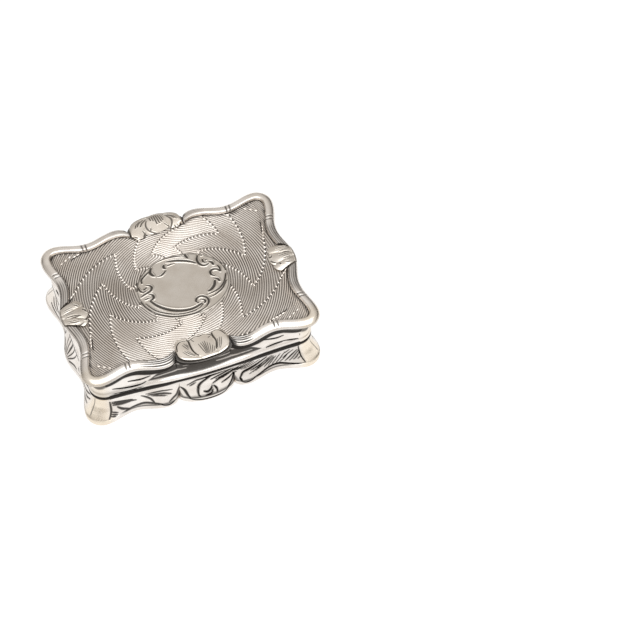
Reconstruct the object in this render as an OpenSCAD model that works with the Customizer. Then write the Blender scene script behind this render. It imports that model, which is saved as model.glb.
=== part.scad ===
// Silver vinaigrette: a small hinged box whose gilt inner grille holds down a scented sponge.
// Frame: +X along the length, +Y towards the hinge at the back, +Z up, origin under the middle of the base.

/* [Box] */
// Length over the corner lobes
box_l = 40; // [38:0.5:42]
// Depth over the corner lobes
box_d = 29; // [28:0.5:30]
// Height of the base up to the seam
base_h = 6; // [5.8:0.1:6.6]
// Height of the lid above the seam, to the top of the shells
lid_h = 6; // [5.6:0.1:6.6]
// Open line between the lid and the base
seam_gap = 0.2; // [0.15:0.05:0.3]
// Thickness of the silver sheet in the side bands
sheet_t = 0.7; // [0.6:0.05:0.9]

/* [Lobed outline] */
// Radius of the corner lobes in plan
lobe_r = 2.8; // [2.4:0.1:3.2]
// How far the long sides curve in between a corner and a crest
wave_in = 1.05; // [0.6:0.05:1.2]
// How far the short sides curve in
side_in = 1.2; // [0.6:0.05:1.3]
// Place of the crest beside the middle lobe
crest_x = 6.8; // [6.2:0.1:7.4]
// Half width of the middle lobe of a long side
mid_half = 4.75; // [4.3:0.05:5.2]
// Depth of the notch beside the middle lobe
notch_in = 1.3; // [1:0.05:1.5]
// How far the middle lobe stands out from its notches
mid_out = 2.05; // [1.7:0.05:2.2]

/* [Waist] */
// Length of the box at the seam
waist_l = 37.5; // [37:0.1:37.8]
// Depth of the box at the seam, at the corners
waist_d = 27; // [26.6:0.1:27.2]
// Corner radius at the seam
waist_r = 2.6; // [2.2:0.1:3]
// How far the long sides bow out at the seam
waist_bow = 0.7; // [0.5:0.05:0.8]
// Depth of the thumb hollow in the front of the lid
thumb_in = 0.8; // [0.4:0.05:0.9]
// Half width of the thumb hollow
thumb_half = 9.5; // [7:0.5:11]

/* [Panel] */
// Width of the border round the panel
border_w = 1.75; // [1.6:0.05:1.9]
// How far the border spreads in over the panel beside the middle lobe
border_spread = 0.7; // [0.4:0.05:0.9]
// How far the panel lies below the crown of the border
panel_sunk = 0.6; // [0.5:0.05:0.7]
// Thickness of the panel and of the bottom plate
panel_t = 0.5; // [0.4:0.05:0.6]
// Length of the oval cartouche
oval_l = 14.6; // [12:0.2:16]
// Depth of the oval cartouche
oval_d = 12.2; // [10:0.2:14]
// How far the cartouche stands to the right of the middle
oval_x = 0.8; // [-1:0.1:1]

/* [Shells] */
// Half width of the front and back shells
shell_half = 4.4; // [4.2:0.05:4.6]
// How far the front shell reaches in from the edge of the box
front_reach = 4.1; // [3.8:0.05:4.3]
// How far the back shell reaches in from the edge of the box
back_reach = 3.1; // [2.9:0.05:4.3]
// Half width of the end shells
end_half = 2.7; // [2.4:0.05:2.9]
// How far the end shells reach in from the edge of the box
end_reach = 4.6; // [3.8:0.1:5]
// How far the petals of a shell are cut back between their tips
petal_cut = 0.5; // [0.3:0.05:0.7]

/* [Inside] */
// Thickness of the bezel
bezel_t = 0.45; // [0.35:0.05:0.5]
// How far the bezel stands above the seam
bezel_up = 1.2; // [0.8:0.1:1.3]
// Thickness of the grille
grille_t = 0.4; // [0.35:0.05:0.5]
// Height of the grille's middle plane above the table
grille_z = 5.2; // [5.1:0.05:5.3]
// Height of the sponge
sponge_h = 3.2; // [2.6:0.1:3.3]

/* [Hinges] */
// Outer radius of the lid's hinge tubes
knuckle_r = 0.6; // [0.55:0.05:0.65]
// Radius of the lid's hinge pin
pin_r = 0.26; // [0.22:0.02:0.3]
// Length of the lid's hinge
hinge_l = 17; // [15:0.5:18]
// Outer radius of the grille's hinge tubes
fine_knuckle_r = 0.5; // [0.45:0.05:0.55]
// Radius of the grille's hinge pin
fine_pin_r = 0.2; // [0.18:0.02:0.24]
// Length of the grille's hinge
fine_hinge_l = 16; // [14:0.5:17]

/* [Hidden] */
$fn = 48;

silver = [0.78, 0.77, 0.74];
gilt = [0.84, 0.69, 0.37];
sponge_tan = [0.80, 0.66, 0.38];

half_l = box_l / 2;
half_d = box_d / 2;
lobe_x = half_l - lobe_r;
lobe_y = half_d - lobe_r;

// Heights
foot_z = 1.1;
floor_z = 0.35;
lid_z = base_h + seam_gap;
top_z = lid_z + lid_h;
crown_z = top_z - 0.2;
panel_z = crown_z - panel_sunk;
rim_z = panel_z - panel_t;
bezel_z0 = 3.6;
ledge_top = grille_z - grille_t / 2 - 0.05;

// Insets from the outline at the seam
bezel_in = 0.45 + sheet_t;
bezel_gap = 0.12;
well_in = bezel_in + bezel_t;
grille_in = well_in + 0.25;
ledge_in = well_in + 0.6;

// Hinges: running gap round a pin, gap between neighbouring tubes and gap in a bearer's groove
pin_gap = 0.04;
knuckle_gap = 0.1;
groove_gap = 0.12;
hinge_y = waist_d / 2 + waist_bow + 0.15;
hinge_z = base_h + seam_gap / 2;
bearer_h = 1;
grille_hinge_y = 11.2;

// Plan outlines. A station is [stretch, place, x sign, y sign]: stretch 0 is a long side and its place is x,
// stretch 1 is a corner and its place is an angle, and stretch 2 is a short side and its place is a distance
// from the middle. Every outline is a function of the station, so a wall can be lofted between two of them.
quarter = concat(
    [for (k = [0:4]) [0, mid_half * sin(18 * k)]],
    [for (k = [0:2]) [0, crest_x - (crest_x - mid_half) * cos(30 * k)]],
    [for (k = [0:7]) [0, crest_x + (lobe_x - crest_x) * k / 8]],
    [for (k = [0:5]) [1, -90 + 15 * k]],
    [for (k = [0:8]) [2, lobe_y * (1 - k / 8)]]
);
last = len(quarter) - 1;
loop = concat(
    [for (i = [0:last - 1]) concat(quarter[i], [1, 1])],
    [for (i = [last:-1:1]) concat(quarter[i], [1, -1])],
    [for (i = [0:last - 1]) concat(quarter[i], [-1, -1])],
    [for (i = [last:-1:1]) concat(quarter[i], [-1, 1])]
);

function arch(t) = sqrt(max(0, 1 - t * t));

// Distance of the lobed edge from the middle, on a long side at x and on a short side at y
function long_edge(x) =
    x < mid_half ? half_d - notch_in + mid_out * arch(x / mid_half)
    : x < crest_x ? half_d - notch_in + notch_in * arch((crest_x - x) / (crest_x - mid_half))
    : half_d - wave_in * (1 - cos(360 * (x - crest_x) / (lobe_x - crest_x))) / 2;
function short_edge(y) = half_l - side_in * (1 - cos(360 * y / lobe_y)) / 2;

function lobed(s) =
    s[0] == 0 ? [s[1], -long_edge(s[1])]
    : s[0] == 1 ? [lobe_x + lobe_r * cos(s[1]), -lobe_y + lobe_r * sin(s[1])]
    : [short_edge(s[1]), -s[1]];

// A rectangle a by b from the middle, with corner radius r and long sides bowed out
function squared(s, a, b, r, bow) =
    s[0] == 0 ? [s[1] / lobe_x * (a - r), -b - bow * (1 + cos(180 * s[1] / lobe_x)) / 2]
    : s[0] == 1 ? [a - r + r * cos(s[1]), -b + r + r * sin(s[1])]
    : [a, -s[1] / lobe_y * (b - r)];

function waist(s) = squared(s, waist_l / 2, waist_d / 2, waist_r, waist_bow);

// The panel's outline keeps one width of border inside the lobed outline, and passes by the notches
function framed(s) =
    s[0] == 0 && s[1] < crest_x
    ? let (near = min(1, (crest_x - s[1]) / (crest_x - mid_half)))
        [s[1], border_w - half_d + border_spread * pow(near, 2)]
    : lobed(s) + inward(s) * border_w;
function inward(s) = s[0] == 0 ? [0, 1] : s[0] == 1 ? [-cos(s[1]), -sin(s[1])] : [-1, 0];
function place(s, p, z) = [s[2] * p[0], s[3] * p[1], z];

// Share of the thumb hollow at a station: only the front has it
function thumb(s) = s[0] == 0 && s[3] > 0 ? max(0, 1 - pow(s[1] / thumb_half, 2)) : 0;

// A point of a side band: row is [share of the lobed outline, inset, height, share of the thumb hollow]
function band_point(s, row) =
    let (inset = row[1] + thumb(s) * thumb_in * row[3])
    place(s, waist(s) + (lobed(s) - waist(s)) * row[0] + inward(s) * inset, row[2]);

// A point of a border: row is [share of the way from the panel to the lobed outline, inset, height]
function border_point(s, row) =
    place(s, framed(s) + (lobed(s) - framed(s)) * row[0] + inward(s) * row[1], row[2]);

// An outline inset from the seam, or round the panel, as plan points
function waist_plan(inset) =
    [for (s = loop) let (p = waist(s) + inward(s) * inset) [s[2] * p[0], s[3] * p[1]]];
panel_plan = [for (s = loop) let (p = framed(s)) [s[2] * p[0], s[3] * p[1]]];

// A closed band swept round the box: rings holds one closed section for each station
module sweep(rings) {
    n = len(rings);
    m = len(rings[0]);
    function at(i, j) = (i % n) * m + j % m;
    polyhedron(
        points = [for (ring = rings) each ring],
        faces = [for (i = [0:n - 1], j = [0:m - 1])
            each [[at(i, j), at(i + 1, j), at(i + 1, j + 1)], [at(i, j), at(i + 1, j + 1), at(i, j + 1)]]],
        convexity = 10);
}

// A solid lofted through level outlines, from the top one down, with a fan of faces over each end
module loft(levels) {
    n = len(levels[0]);
    m = len(levels);
    function middle(level) = [0, 0, level[0][2]];
    polyhedron(
        points = concat([for (level = levels) each level], [middle(levels[0]), middle(levels[m - 1])]),
        faces = concat(
            [for (i = [0:n - 1]) [m * n, (i + 1) % n, i]],
            [for (j = [0:m - 2], i = [0:n - 1]) let (a = j * n + i, b = j * n + (i + 1) % n)
                each [[a, b, b + n], [a, b + n, a + n]]],
            [for (i = [0:n - 1]) [m * n + 1, (m - 1) * n + i, (m - 1) * n + (i + 1) % n]]),
        convexity = 4);
}

// A plate with a plan outline, from z0 up to z1
module plate(plan, z0, z1) {
    translate([0, 0, z0]) linear_extrude(z1 - z0) polygon(plan);
}

// A wall between two plan outlines, from z0 up to z1
module wall(outer, inner, z0, z1) {
    translate([0, 0, z0]) linear_extrude(z1 - z0) difference() {
        polygon(outer);
        polygon(inner);
    }
}

// A round bar along X from x0 to x1
module bar(x0, x1, r, y, z) {
    translate([x0, y, z]) rotate([0, 90, 0]) cylinder(h = x1 - x0, r = r);
}

// A hinge tube along X from x0 to x1
module tube(x0, x1, r, bore_r, y, z) {
    difference() {
        bar(x0, x1, r, y, z);
        bar(x0 - 1, x1 + 1, bore_r, y, z);
    }
}

// A box given by its lowest and highest corners
module block(low, high) {
    translate(low) cube(high - low);
}

// Ends of the five tubes of the lid's hinge, from left to right: even ones are the base's
pitch = hinge_l / 5;
function knuckle_x0(k) = -hinge_l / 2 + k * pitch + (k == 0 ? 0 : knuckle_gap / 2);
function knuckle_x1(k) = -hinge_l / 2 + (k + 1) * pitch - (k == 4 ? 0 : knuckle_gap / 2);
base_tubes = [0, 2, 4];
lid_tubes = [1, 3];

// Ends of the grille's middle tube
fine_mid = fine_hinge_l / 2 - 3;

// Space for the lid's hinge in the back of a side band
module hinge_seat(z0, z1) {
    block([-hinge_l / 2 - 0.1, hinge_y - 2.4, z0], [hinge_l / 2 + 0.1, hinge_y + 2, z1]);
}

// Groove in a bearer: tight round the tubes that it carries, open round the others
module bearer_groove(own, others) {
    for (k = own) bar(knuckle_x0(k) - 0.01, knuckle_x1(k) + 0.01, knuckle_r, hinge_y, hinge_z);
    open_r = knuckle_r + groove_gap;
    for (k = others)
        bar(knuckle_x0(k) - knuckle_gap, knuckle_x1(k) + knuckle_gap, open_r, hinge_y, hinge_z);
}

// Flared side band of the base
module base_side() {
    profile = [
        [0, 0.15, base_h, 0], [0, 0, base_h - 0.2, 0], [0, 0.05, base_h - 0.65, 0],
        [0.04, 0.42, base_h - 1.1, 0], [0.22, 0.45, 3.6, 0], [0.58, 0.24, 2.3, 0],
        [0.9, 0.06, foot_z + 0.15, 0], [1, 0.16, foot_z, 0],
        [1, 0.16 + sheet_t, foot_z, 0], [0.6, 0.26 + sheet_t, 2.3, 0], [0, bezel_in, bezel_z0, 0],
        [0, bezel_in, base_h, 0]
    ];
    color(silver) difference() {
        sweep([for (s = loop) [for (row = profile) band_point(s, row)]]);
        hinge_seat(base_h - bearer_h - 0.05, base_h + 1);
    }
}

// Foot rim: the lobed border that the box stands on
module base_border() {
    profile = [
        [1, 0.12, foot_z], [1, 0, foot_z - 0.15], [1, -0.02, 0.5], [1, 0, 0.2], [1, 0.15, 0],
        [0, 0, 0], [0, 0, foot_z]
    ];
    color(silver) sweep([for (s = loop) [for (row = profile) border_point(s, row)]]);
}

// Bottom plate
module base_floor() {
    color(silver) plate(panel_plan, floor_z, floor_z + panel_t);
}

// Upright rim that the lid shuts over
module bezel() {
    color(gilt) wall(waist_plan(bezel_in), waist_plan(well_in), bezel_z0, base_h + bezel_up);
}

// A hinge bearer: a strip of the hinge's length, depth deep, with its far outer edge chamfered.
// away is -1 below the seam and 1 above it.
module bearer(depth, away) {
    chamfer = 0.45;
    y0 = hinge_y - depth;
    z0 = hinge_z + away * (seam_gap / 2 + 0.05);
    z1 = z0 + away * bearer_h;
    section = [[y0, z0], [hinge_y, z0], [hinge_y, z1 - away * chamfer], [hinge_y - chamfer, z1], [y0, z1]];
    rotate([90, 0, 90]) translate([0, 0, -hinge_l / 2]) linear_extrude(hinge_l) polygon(section);
}

// Hinge bearer on the base
module base_bearer() {
    color(silver) difference() {
        bearer(1.27, -1);
        bearer_groove(base_tubes, lid_tubes);
    }
}

// Hinge tubes on the base
module base_knuckles() {
    color(silver) for (k = base_tubes)
        tube(knuckle_x0(k), knuckle_x1(k), knuckle_r, pin_r, hinge_y, hinge_z);
}

// Pin of the lid's hinge
module lid_hinge_pin() {
    color(silver) bar(-hinge_l / 2, hinge_l / 2, pin_r, hinge_y, hinge_z);
}

// Ledge that the shut grille rests on, open at the back for the grille's hinge
module grille_ledge() {
    color(gilt) difference() {
        wall(waist_plan(well_in), waist_plan(ledge_in), ledge_top - 0.55, ledge_top);
        block([-fine_hinge_l / 2 - 0.4, 0, 0], [fine_hinge_l / 2 + 0.4, box_d, top_z]);
    }
}

// Bearer on the bezel for the grille's hinge
module grille_bearer() {
    half = fine_hinge_l / 2;
    open_half = fine_mid + knuckle_gap;
    color(gilt) difference() {
        intersection() {
            block([-half, grille_hinge_y, grille_z - 0.5], [half, box_d, grille_z + 0.1]);
            plate(waist_plan(well_in), 0, top_z);
        }
        bar(-half - 1, half + 1, fine_knuckle_r, grille_hinge_y, grille_z);
        bar(-open_half, open_half, fine_knuckle_r + groove_gap, grille_hinge_y, grille_z);
    }
}

// Hinge tubes of the grille that stay with the base
module grille_end_knuckles() {
    x0 = fine_mid + knuckle_gap;
    color(gilt) for (side = [0, 1]) mirror([side, 0, 0])
        tube(x0, fine_hinge_l / 2, fine_knuckle_r, fine_pin_r, grille_hinge_y, grille_z);
}

// Pin of the grille's hinge
module grille_hinge_pin() {
    color(gilt) bar(-fine_hinge_l / 2, fine_hinge_l / 2, fine_pin_r, grille_hinge_y, grille_z);
}

// Sponge in the well of the base
module sponge() {
    // Each level is [inset, height]
    levels = [[0.9, 1], [0.25, 0.86], [0, 0.5], [0.2, 0.16], [0.7, 0]];
    color(sponge_tan) loft([for (level = levels) [for (i = [0:2:len(loop) - 1])
        let (s = loop[i]) place(s, squared(s, 16.4, 11.3, 3, 0) + inward(s) * level[0],
            floor_z + panel_t + 0.05 + sponge_h * level[1])]]);
}

// Hollowed side band of the lid
module lid_side() {
    profile = [
        [1, 0.5, rim_z, 0], [0.85, 0.62, rim_z - 0.5, 0.4], [0.5, 0.78, rim_z - 1.5, 1],
        [0.2, 0.62, lid_z + 1.8, 1], [0.03, 0.26, lid_z + 0.95, 0.5], [0, 0.02, lid_z + 0.6, 0],
        [0, 0, lid_z + 0.2, 0], [0, 0.15, lid_z, 0],
        [0, bezel_in - bezel_gap, lid_z, 0], [0, bezel_in - bezel_gap, lid_z + bezel_up + 0.15, 0],
        [0.2, 0.62 + sheet_t, lid_z + 2.1, 1], [0.5, 0.78 + sheet_t, rim_z - 1.5, 1],
        [0.9, 0.5 + sheet_t, rim_z, 0]
    ];
    color(silver) difference() {
        sweep([for (s = loop) [for (row = profile) band_point(s, row)]]);
        hinge_seat(lid_z - 1, lid_z + bearer_h + 0.05);
    }
}

// Raised serpentine moulding round the panel, cut down where the shells sit
module lid_border() {
    profile = [
        [0.45, 0, crown_z], [0.66, 0, crown_z - 0.03], [0.84, 0, crown_z - 0.15], [0.95, 0, crown_z - 0.36],
        [1, 0, crown_z - 0.58], [1, 0.1, rim_z + 0.28], [1, 0.5, rim_z], [0, 0, rim_z],
        [0, 0, panel_z + 0.1], [0.1, 0, crown_z - 0.22], [0.24, 0, crown_z - 0.06]
    ];
    long_cut = 2 * shell_half + 0.5;
    end_cut = 2 * end_half + 0.12;
    color(silver) difference() {
        sweep([for (s = loop) [for (row = profile) border_point(s, row)]]);
        for (side = [-1, 1]) {
            translate([0, side * half_d, panel_z + 5]) cube([long_cut, 12, 10], center = true);
            translate([side * half_l, 0, panel_z + 5]) cube([12, end_cut, 10], center = true);
        }
    }
}

// Oval as plan points
function oval(l, d) = [for (k = [0:47]) [oval_x + l / 2 * cos(7.5 * k), d / 2 * sin(7.5 * k)]];

// Top plate with the raised line of the cartouche
module lid_panel() {
    line_w = 0.4;
    line_h = 0.08;
    inner = oval(oval_l - 2 * line_w, oval_d - 2 * line_w);
    color(silver) {
        plate(panel_plan, rim_z, panel_z);
        wall(oval(oval_l, oval_d), inner, panel_z - 0.01, panel_z + line_h);
    }
}

// Three petals across a shell, from -1 to 1: a broad middle one and one at each side
function petal(t) = abs(t) < 0.5 ? cos(180 * t) : sin(360 * (abs(t) - 0.5));

// Place across a shell of a line that follows its petals: they are narrow at the lip and open inwards
function across(t, v) =
    let (split = 0.18 + 0.29 * pow(v, 0.7))
    sign(t) * (abs(t) < 0.5 ? 2 * abs(t) * split : split + (2 * abs(t) - 1) * (1 - split));

// A shell at the front of the box: a fan of petals from its lip in to their tips, hollowed below.
// lip and tip give plan points for a place across from -1 to 1.
module shell(lip, tip) {
    cols = 24;
    rows = 6;
    foot_t = 0.3;
    under = 0.9;
    groove = 0.32;
    rise = top_z - panel_z - foot_t;
    function swell(t) = sqrt(max(0, petal(t)));
    function plan(t, v) =
        let (u = across(t, v))
        lip(u) * (1 - v) + (tip(u) - [0, petal_cut * (1 - swell(t))]) * v;
    function height(t, v) = foot_t + rise * sin(45 + 126 * pow(v, 0.9)) * (1 - groove + groove * swell(t));
    top = [for (j = [0:rows], i = [0:cols]) let (t = 2 * i / cols - 1, v = j / rows, p = plan(t, v))
        [p[0], p[1], panel_z + height(t, v)]];
    rim = concat(
        [for (i = [0:cols - 1]) i],
        [for (j = [0:rows - 1]) j * (cols + 1) + cols],
        [for (i = [cols:-1:1]) rows * (cols + 1) + i],
        [for (j = [rows:-1:1]) j * (cols + 1)]);
    n = len(rim);
    count = len(top);
    middle = (lip(0) + tip(0)) / 2;
    hub = [middle[0], middle[1], panel_z];
    foot = [for (k = rim) let (p = hub + under * (top[k] - hub)) [p[0], p[1], panel_z]];
    polyhedron(
        points = concat(top, foot, [hub]),
        faces = concat(
            [for (j = [0:rows - 1], i = [0:cols - 1]) let (a = j * (cols + 1) + i, b = a + cols + 1)
                each [[a, b, b + 1], [a, b + 1, a + 1]]],
            [for (k = [0:n - 1]) let (l = (k + 1) % n, a = count + k, b = count + l)
                each [[rim[k], rim[l], b], [rim[k], b, a], [a, b, count + n]]]),
        convexity = 6);
}

// Shell of a long side: its lip is a deep bow that stands in the middle lobe
module long_shell(reach) {
    ledge = 0.15;
    bow_y = half_d - notch_in + mid_out - ledge;
    tip_y = half_d - reach;
    shell(
        function(u) [shell_half * sin(90 * u), -lobe_y - (bow_y - lobe_y) * pow(cos(90 * u), 0.45)],
        function(u) [0.96 * shell_half * u, -tip_y + 0.4 * u * u - 0.7 * pow(u, 8)]);
}

// Shell of a short side: its lip follows the border
module end_shell() {
    ledge = 0.1;
    tip_y = half_l - end_reach;
    shell(
        function(u) [end_half * u, ledge - short_edge(end_half * abs(u))],
        function(u) [0.85 * end_half * u, -tip_y - 0.9 * u * u]);
}

// Front shell, the thumb-piece
module lid_shell_front() {
    color(silver) long_shell(front_reach);
}

// Back shell
module lid_shell_back() {
    color(silver) rotate([0, 0, 180]) long_shell(back_reach);
}

// Left shell
module lid_shell_left() {
    color(silver) rotate([0, 0, -90]) end_shell();
}

// Right shell
module lid_shell_right() {
    color(silver) rotate([0, 0, 90]) end_shell();
}

// Hinge bearer on the lid
module lid_bearer() {
    color(silver) difference() {
        bearer(1.1, 1);
        bearer_groove(lid_tubes, base_tubes);
    }
}

// Hinge tubes on the lid
module lid_knuckles() {
    color(silver) for (k = lid_tubes)
        tube(knuckle_x0(k), knuckle_x1(k), knuckle_r, pin_r + pin_gap, hinge_y, hinge_z);
}

// A pierced leaf: the overlap of two circles, with its stem end at the origin
module leaf(l, w) {
    r = (l * l / 4 + w * w / 4) / w;
    intersection() {
        translate([l / 2, r - w / 2]) circle(r);
        translate([l / 2, w / 2 - r]) circle(r);
    }
}

// A pierced scroll: a hooked arc between two round eyes
module scroll(r, w, start, turn) {
    far = 3 * r;
    gap = 360 - turn;
    difference() {
        circle(r + w / 2);
        circle(r - w / 2);
        rotate(start + turn)
            polygon([[0, 0], [far, 0], far * [cos(gap / 2), sin(gap / 2)], far * [cos(gap), sin(gap)]]);
    }
    rotate(start) translate([r, 0]) circle(w * 0.62);
    rotate(start + turn) translate([r, 0]) circle(w * 0.85);
}

// Piercing of one quarter of the grille: a leafy scroll, side leaves and a row of dots along the rim
module quarter_piercing() {
    translate([9.2, 4.9]) {
        scroll(2.9, 0.8, -60, 250);
        for (k = [0:4]) rotate(72 * k + 20) translate([0.45, 0]) leaf(1.5, 0.7);
        for (k = [0:4]) rotate(36 * k - 42) translate([3.65, 0]) leaf(1.35, 0.7);
    }
    translate([2.7, 5.6]) rotate(62) leaf(3.1, 1.05);
    translate([14.9, 1.2]) rotate(96) leaf(2.4, 0.85);
    for (k = [0:5]) translate([1.5 + 2.5 * k, 10.55]) circle(0.36);
}

// Piercing of the grille: four quarters round a flower
module piercing() {
    for (flip_x = [0, 1], flip_y = [0, 1]) mirror([flip_x, 0]) mirror([0, flip_y]) quarter_piercing();
    for (k = [0:7]) rotate(45 * k) translate([0.95, 0]) leaf(2.7, 1.1);
    for (k = [0:7]) rotate(45 * k + 22.5) translate([3.5, 0]) circle(0.36);
    circle(0.42);
}

// Pierced plate over the sponge, with a nail notch in its front edge
module grille() {
    y_mid = -0.6;
    own_half = fine_mid + knuckle_gap / 2;
    color(gilt) difference() {
        translate([0, 0, grille_z - grille_t / 2]) linear_extrude(grille_t) difference() {
            intersection() {
                polygon(waist_plan(grille_in));
                translate([0, grille_hinge_y - 50]) square(100, center = true);
            }
            translate([0, y_mid]) piercing();
            translate([0, -half_d + 1.6]) circle(1.3);
        }
        bar(-own_half, own_half, fine_knuckle_r, grille_hinge_y, grille_z);
        for (side = [0, 1]) mirror([side, 0, 0])
            bar(fine_mid, fine_hinge_l / 2 + 0.2, fine_knuckle_r + groove_gap, grille_hinge_y, grille_z);
    }
}

// Hinge tube on the grille
module grille_knuckle() {
    color(gilt) tube(-fine_mid, fine_mid, fine_knuckle_r, fine_pin_r + pin_gap, grille_hinge_y, grille_z);
}

base_side();
base_border();
base_floor();
bezel();
base_bearer();
base_knuckles();
lid_hinge_pin();
grille_ledge();
grille_bearer();
grille_end_knuckles();
grille_hinge_pin();
sponge();
lid_side();
lid_border();
lid_panel();
lid_shell_front();
lid_shell_back();
lid_shell_left();
lid_shell_right();
lid_bearer();
lid_knuckles();
grille();
grille_knuckle();
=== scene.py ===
# Silver vinaigrette: engine-turned lid, serpentine border, chased sides, gilt grille over a sponge
import bpy
import math
import numpy as np
from mathutils import Matrix, Vector, noise


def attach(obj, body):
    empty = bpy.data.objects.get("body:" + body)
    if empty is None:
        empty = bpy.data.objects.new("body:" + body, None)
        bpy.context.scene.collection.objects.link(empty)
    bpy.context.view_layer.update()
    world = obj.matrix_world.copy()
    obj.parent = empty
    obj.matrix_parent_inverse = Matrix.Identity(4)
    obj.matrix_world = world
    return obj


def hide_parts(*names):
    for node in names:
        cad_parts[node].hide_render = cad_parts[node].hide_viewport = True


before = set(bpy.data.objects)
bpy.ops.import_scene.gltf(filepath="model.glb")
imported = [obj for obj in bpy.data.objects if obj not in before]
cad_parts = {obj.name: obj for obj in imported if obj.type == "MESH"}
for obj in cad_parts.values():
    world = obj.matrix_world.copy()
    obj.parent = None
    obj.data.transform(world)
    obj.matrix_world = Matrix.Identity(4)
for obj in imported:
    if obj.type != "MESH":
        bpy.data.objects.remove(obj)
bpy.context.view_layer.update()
mm = 0.001
print("frame loaded")


# Small tools

def deselectAll():
    if bpy.context.object and bpy.context.object.mode != 'OBJECT':
        bpy.ops.object.mode_set(mode='OBJECT')
    bpy.ops.object.select_all(action='DESELECT')


def activate(piece):
    deselectAll()
    piece.select_set(True)
    bpy.context.view_layer.objects.active = piece


def nameBoth(piece, name):  # the object and its mesh
    piece.name = name
    piece.data.name = name


def newSheet(name, cols, rows):
    deselectAll()
    bpy.ops.mesh.primitive_grid_add(x_subdivisions=cols, y_subdivisions=rows, size=2)
    sheet = bpy.context.object
    nameBoth(sheet, name)
    return sheet


def gridPlaces(sheet, cols, rows):  # column and row of each vertex of a fresh grid
    mesh = sheet.data
    co = np.empty(len(mesh.vertices) * 3, np.float32)
    mesh.vertices.foreach_get("co", co)
    co = co.reshape(-1, 3)
    column = np.rint((co[:, 0] + 1) / 2 * cols).astype(int)
    row = np.rint((co[:, 1] + 1) / 2 * rows).astype(int)
    return column, row


def shapeSheet(sheet, points, marks):  # points in mm by column and row, marks are vertex values
    mesh = sheet.data
    i, j = gridPlaces(sheet, points.shape[0] - 1, points.shape[1] - 1)
    mesh.vertices.foreach_set("co", (points[i, j] * mm).astype(np.float32).ravel())
    for name, values in marks.items():
        layer = mesh.attributes.new(name, 'FLOAT', 'POINT')
        layer.data.foreach_set("value", values[i, j].astype(np.float32))
    mesh.update()


smoothAngle = 50  # in degrees, faces that meet at less are shaded as one


def weld(piece):  # joins the seams and shades it smooth
    activate(piece)
    bpy.ops.object.mode_set(mode='EDIT')
    bpy.ops.mesh.select_all(action='SELECT')
    bpy.ops.mesh.remove_doubles(threshold=1e-6)
    bpy.ops.mesh.normals_make_consistent(inside=False)
    bpy.ops.object.mode_set(mode='OBJECT')
    bpy.ops.object.shade_smooth_by_angle(angle=math.radians(smoothAngle))


def closedSheet(name, points, marks):  # a sheet bent round until its edges meet
    sheet = newSheet(name, points.shape[0] - 1, points.shape[1] - 1)
    shapeSheet(sheet, points, marks)
    weld(sheet)
    return sheet


def closedBand(name, points, inner, dark, straw):  # the outside and the inside of a ring wall
    none = np.zeros(inner.shape[:2])
    marks = {'oxideAndShade': np.concatenate([dark, none, dark[:, :1]], 1),
             'straw': np.concatenate([straw, none, straw[:, :1]], 1)}
    return closedSheet(name, np.concatenate([points, inner, points[:, :1]], 1), marks)


def closeUnder(piece, lower, shade):  # a wall from the rim down to where lower puts it, and a flat underside
    activate(piece)
    bpy.ops.object.mode_set(mode='EDIT')
    bpy.ops.mesh.select_mode(type='EDGE')
    bpy.ops.mesh.select_all(action='DESELECT')
    bpy.ops.mesh.select_non_manifold()
    bpy.ops.mesh.extrude_edges_move()
    bpy.ops.object.mode_set(mode='OBJECT')
    oxideAndShade = piece.data.attributes['oxideAndShade'].data
    for vert in piece.data.vertices:
        if vert.select:
            vert.co = lower(vert.co)
            oxideAndShade[vert.index].value = shade
    bpy.ops.object.mode_set(mode='EDIT')
    bpy.ops.mesh.edge_face_add()
    bpy.ops.mesh.select_all(action='SELECT')
    bpy.ops.mesh.normals_make_consistent(inside=False)
    bpy.ops.object.mode_set(mode='OBJECT')


def finishPiece(piece, body, slot, material, *nodes):
    piece.data.materials.clear()
    piece.data.materials.append(material)
    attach(piece, body)
    if nodes:
        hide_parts(*nodes)
    print("made", piece.name)


def ease(t, y, u):  # curve through points that doesn't overshoot
    h = np.diff(t)
    slope = np.diff(y) / h
    bend = np.zeros(len(t))
    for k in range(1, len(t) - 1):
        if slope[k - 1] * slope[k] > 0:
            a, b = 2 * h[k] + h[k - 1], h[k] + 2 * h[k - 1]
            bend[k] = (a + b) / (a / slope[k - 1] + b / slope[k])
    bend[0], bend[-1] = slope[0], slope[-1]
    k = np.clip(np.searchsorted(t, u, side='right') - 1, 0, len(h) - 1)
    s = (u - t[k]) / h[k]
    return ((1 + 2 * s) * (1 - s) ** 2 * y[k] + s * (1 - s) ** 2 * h[k] * bend[k]
            + s * s * (3 - 2 * s) * y[k + 1] + s * s * (s - 1) * h[k] * bend[k + 1])


shareMm = 0.9  # a full share of the outline counts as this much where rows are spaced


def smoothRows(rows, count):  # more rows on a smooth curve through a few
    rows = np.array(rows, float)
    step = np.linalg.norm(np.diff(rows[:, :3] * [shareMm, 1, 1], axis=0), axis=1)
    t = np.r_[0, np.cumsum(step)]
    u = np.linspace(0, t[-1], count)
    return np.stack([ease(t, rows[:, k], u) for k in range(rows.shape[1])], 1)


def soft(t):  # 0 to 1 with no corner at either end
    return t * t * (3 - 2 * t)


def ramp(value, low, high):  # 0 below low, 1 above high and even in between
    return np.clip((value - low) / (high - low), 0, 1)


# The graver's stroke: thin at its ends, with a burr that stands up on both sides and oxide in the cut
graver = {'parts': 6, 'least': 0.35, 'ends': 0.04, 'full': 0.6, 'burrWide': 1.9, 'burrPeak': 0.8,
          'stain': 2.4}


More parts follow.
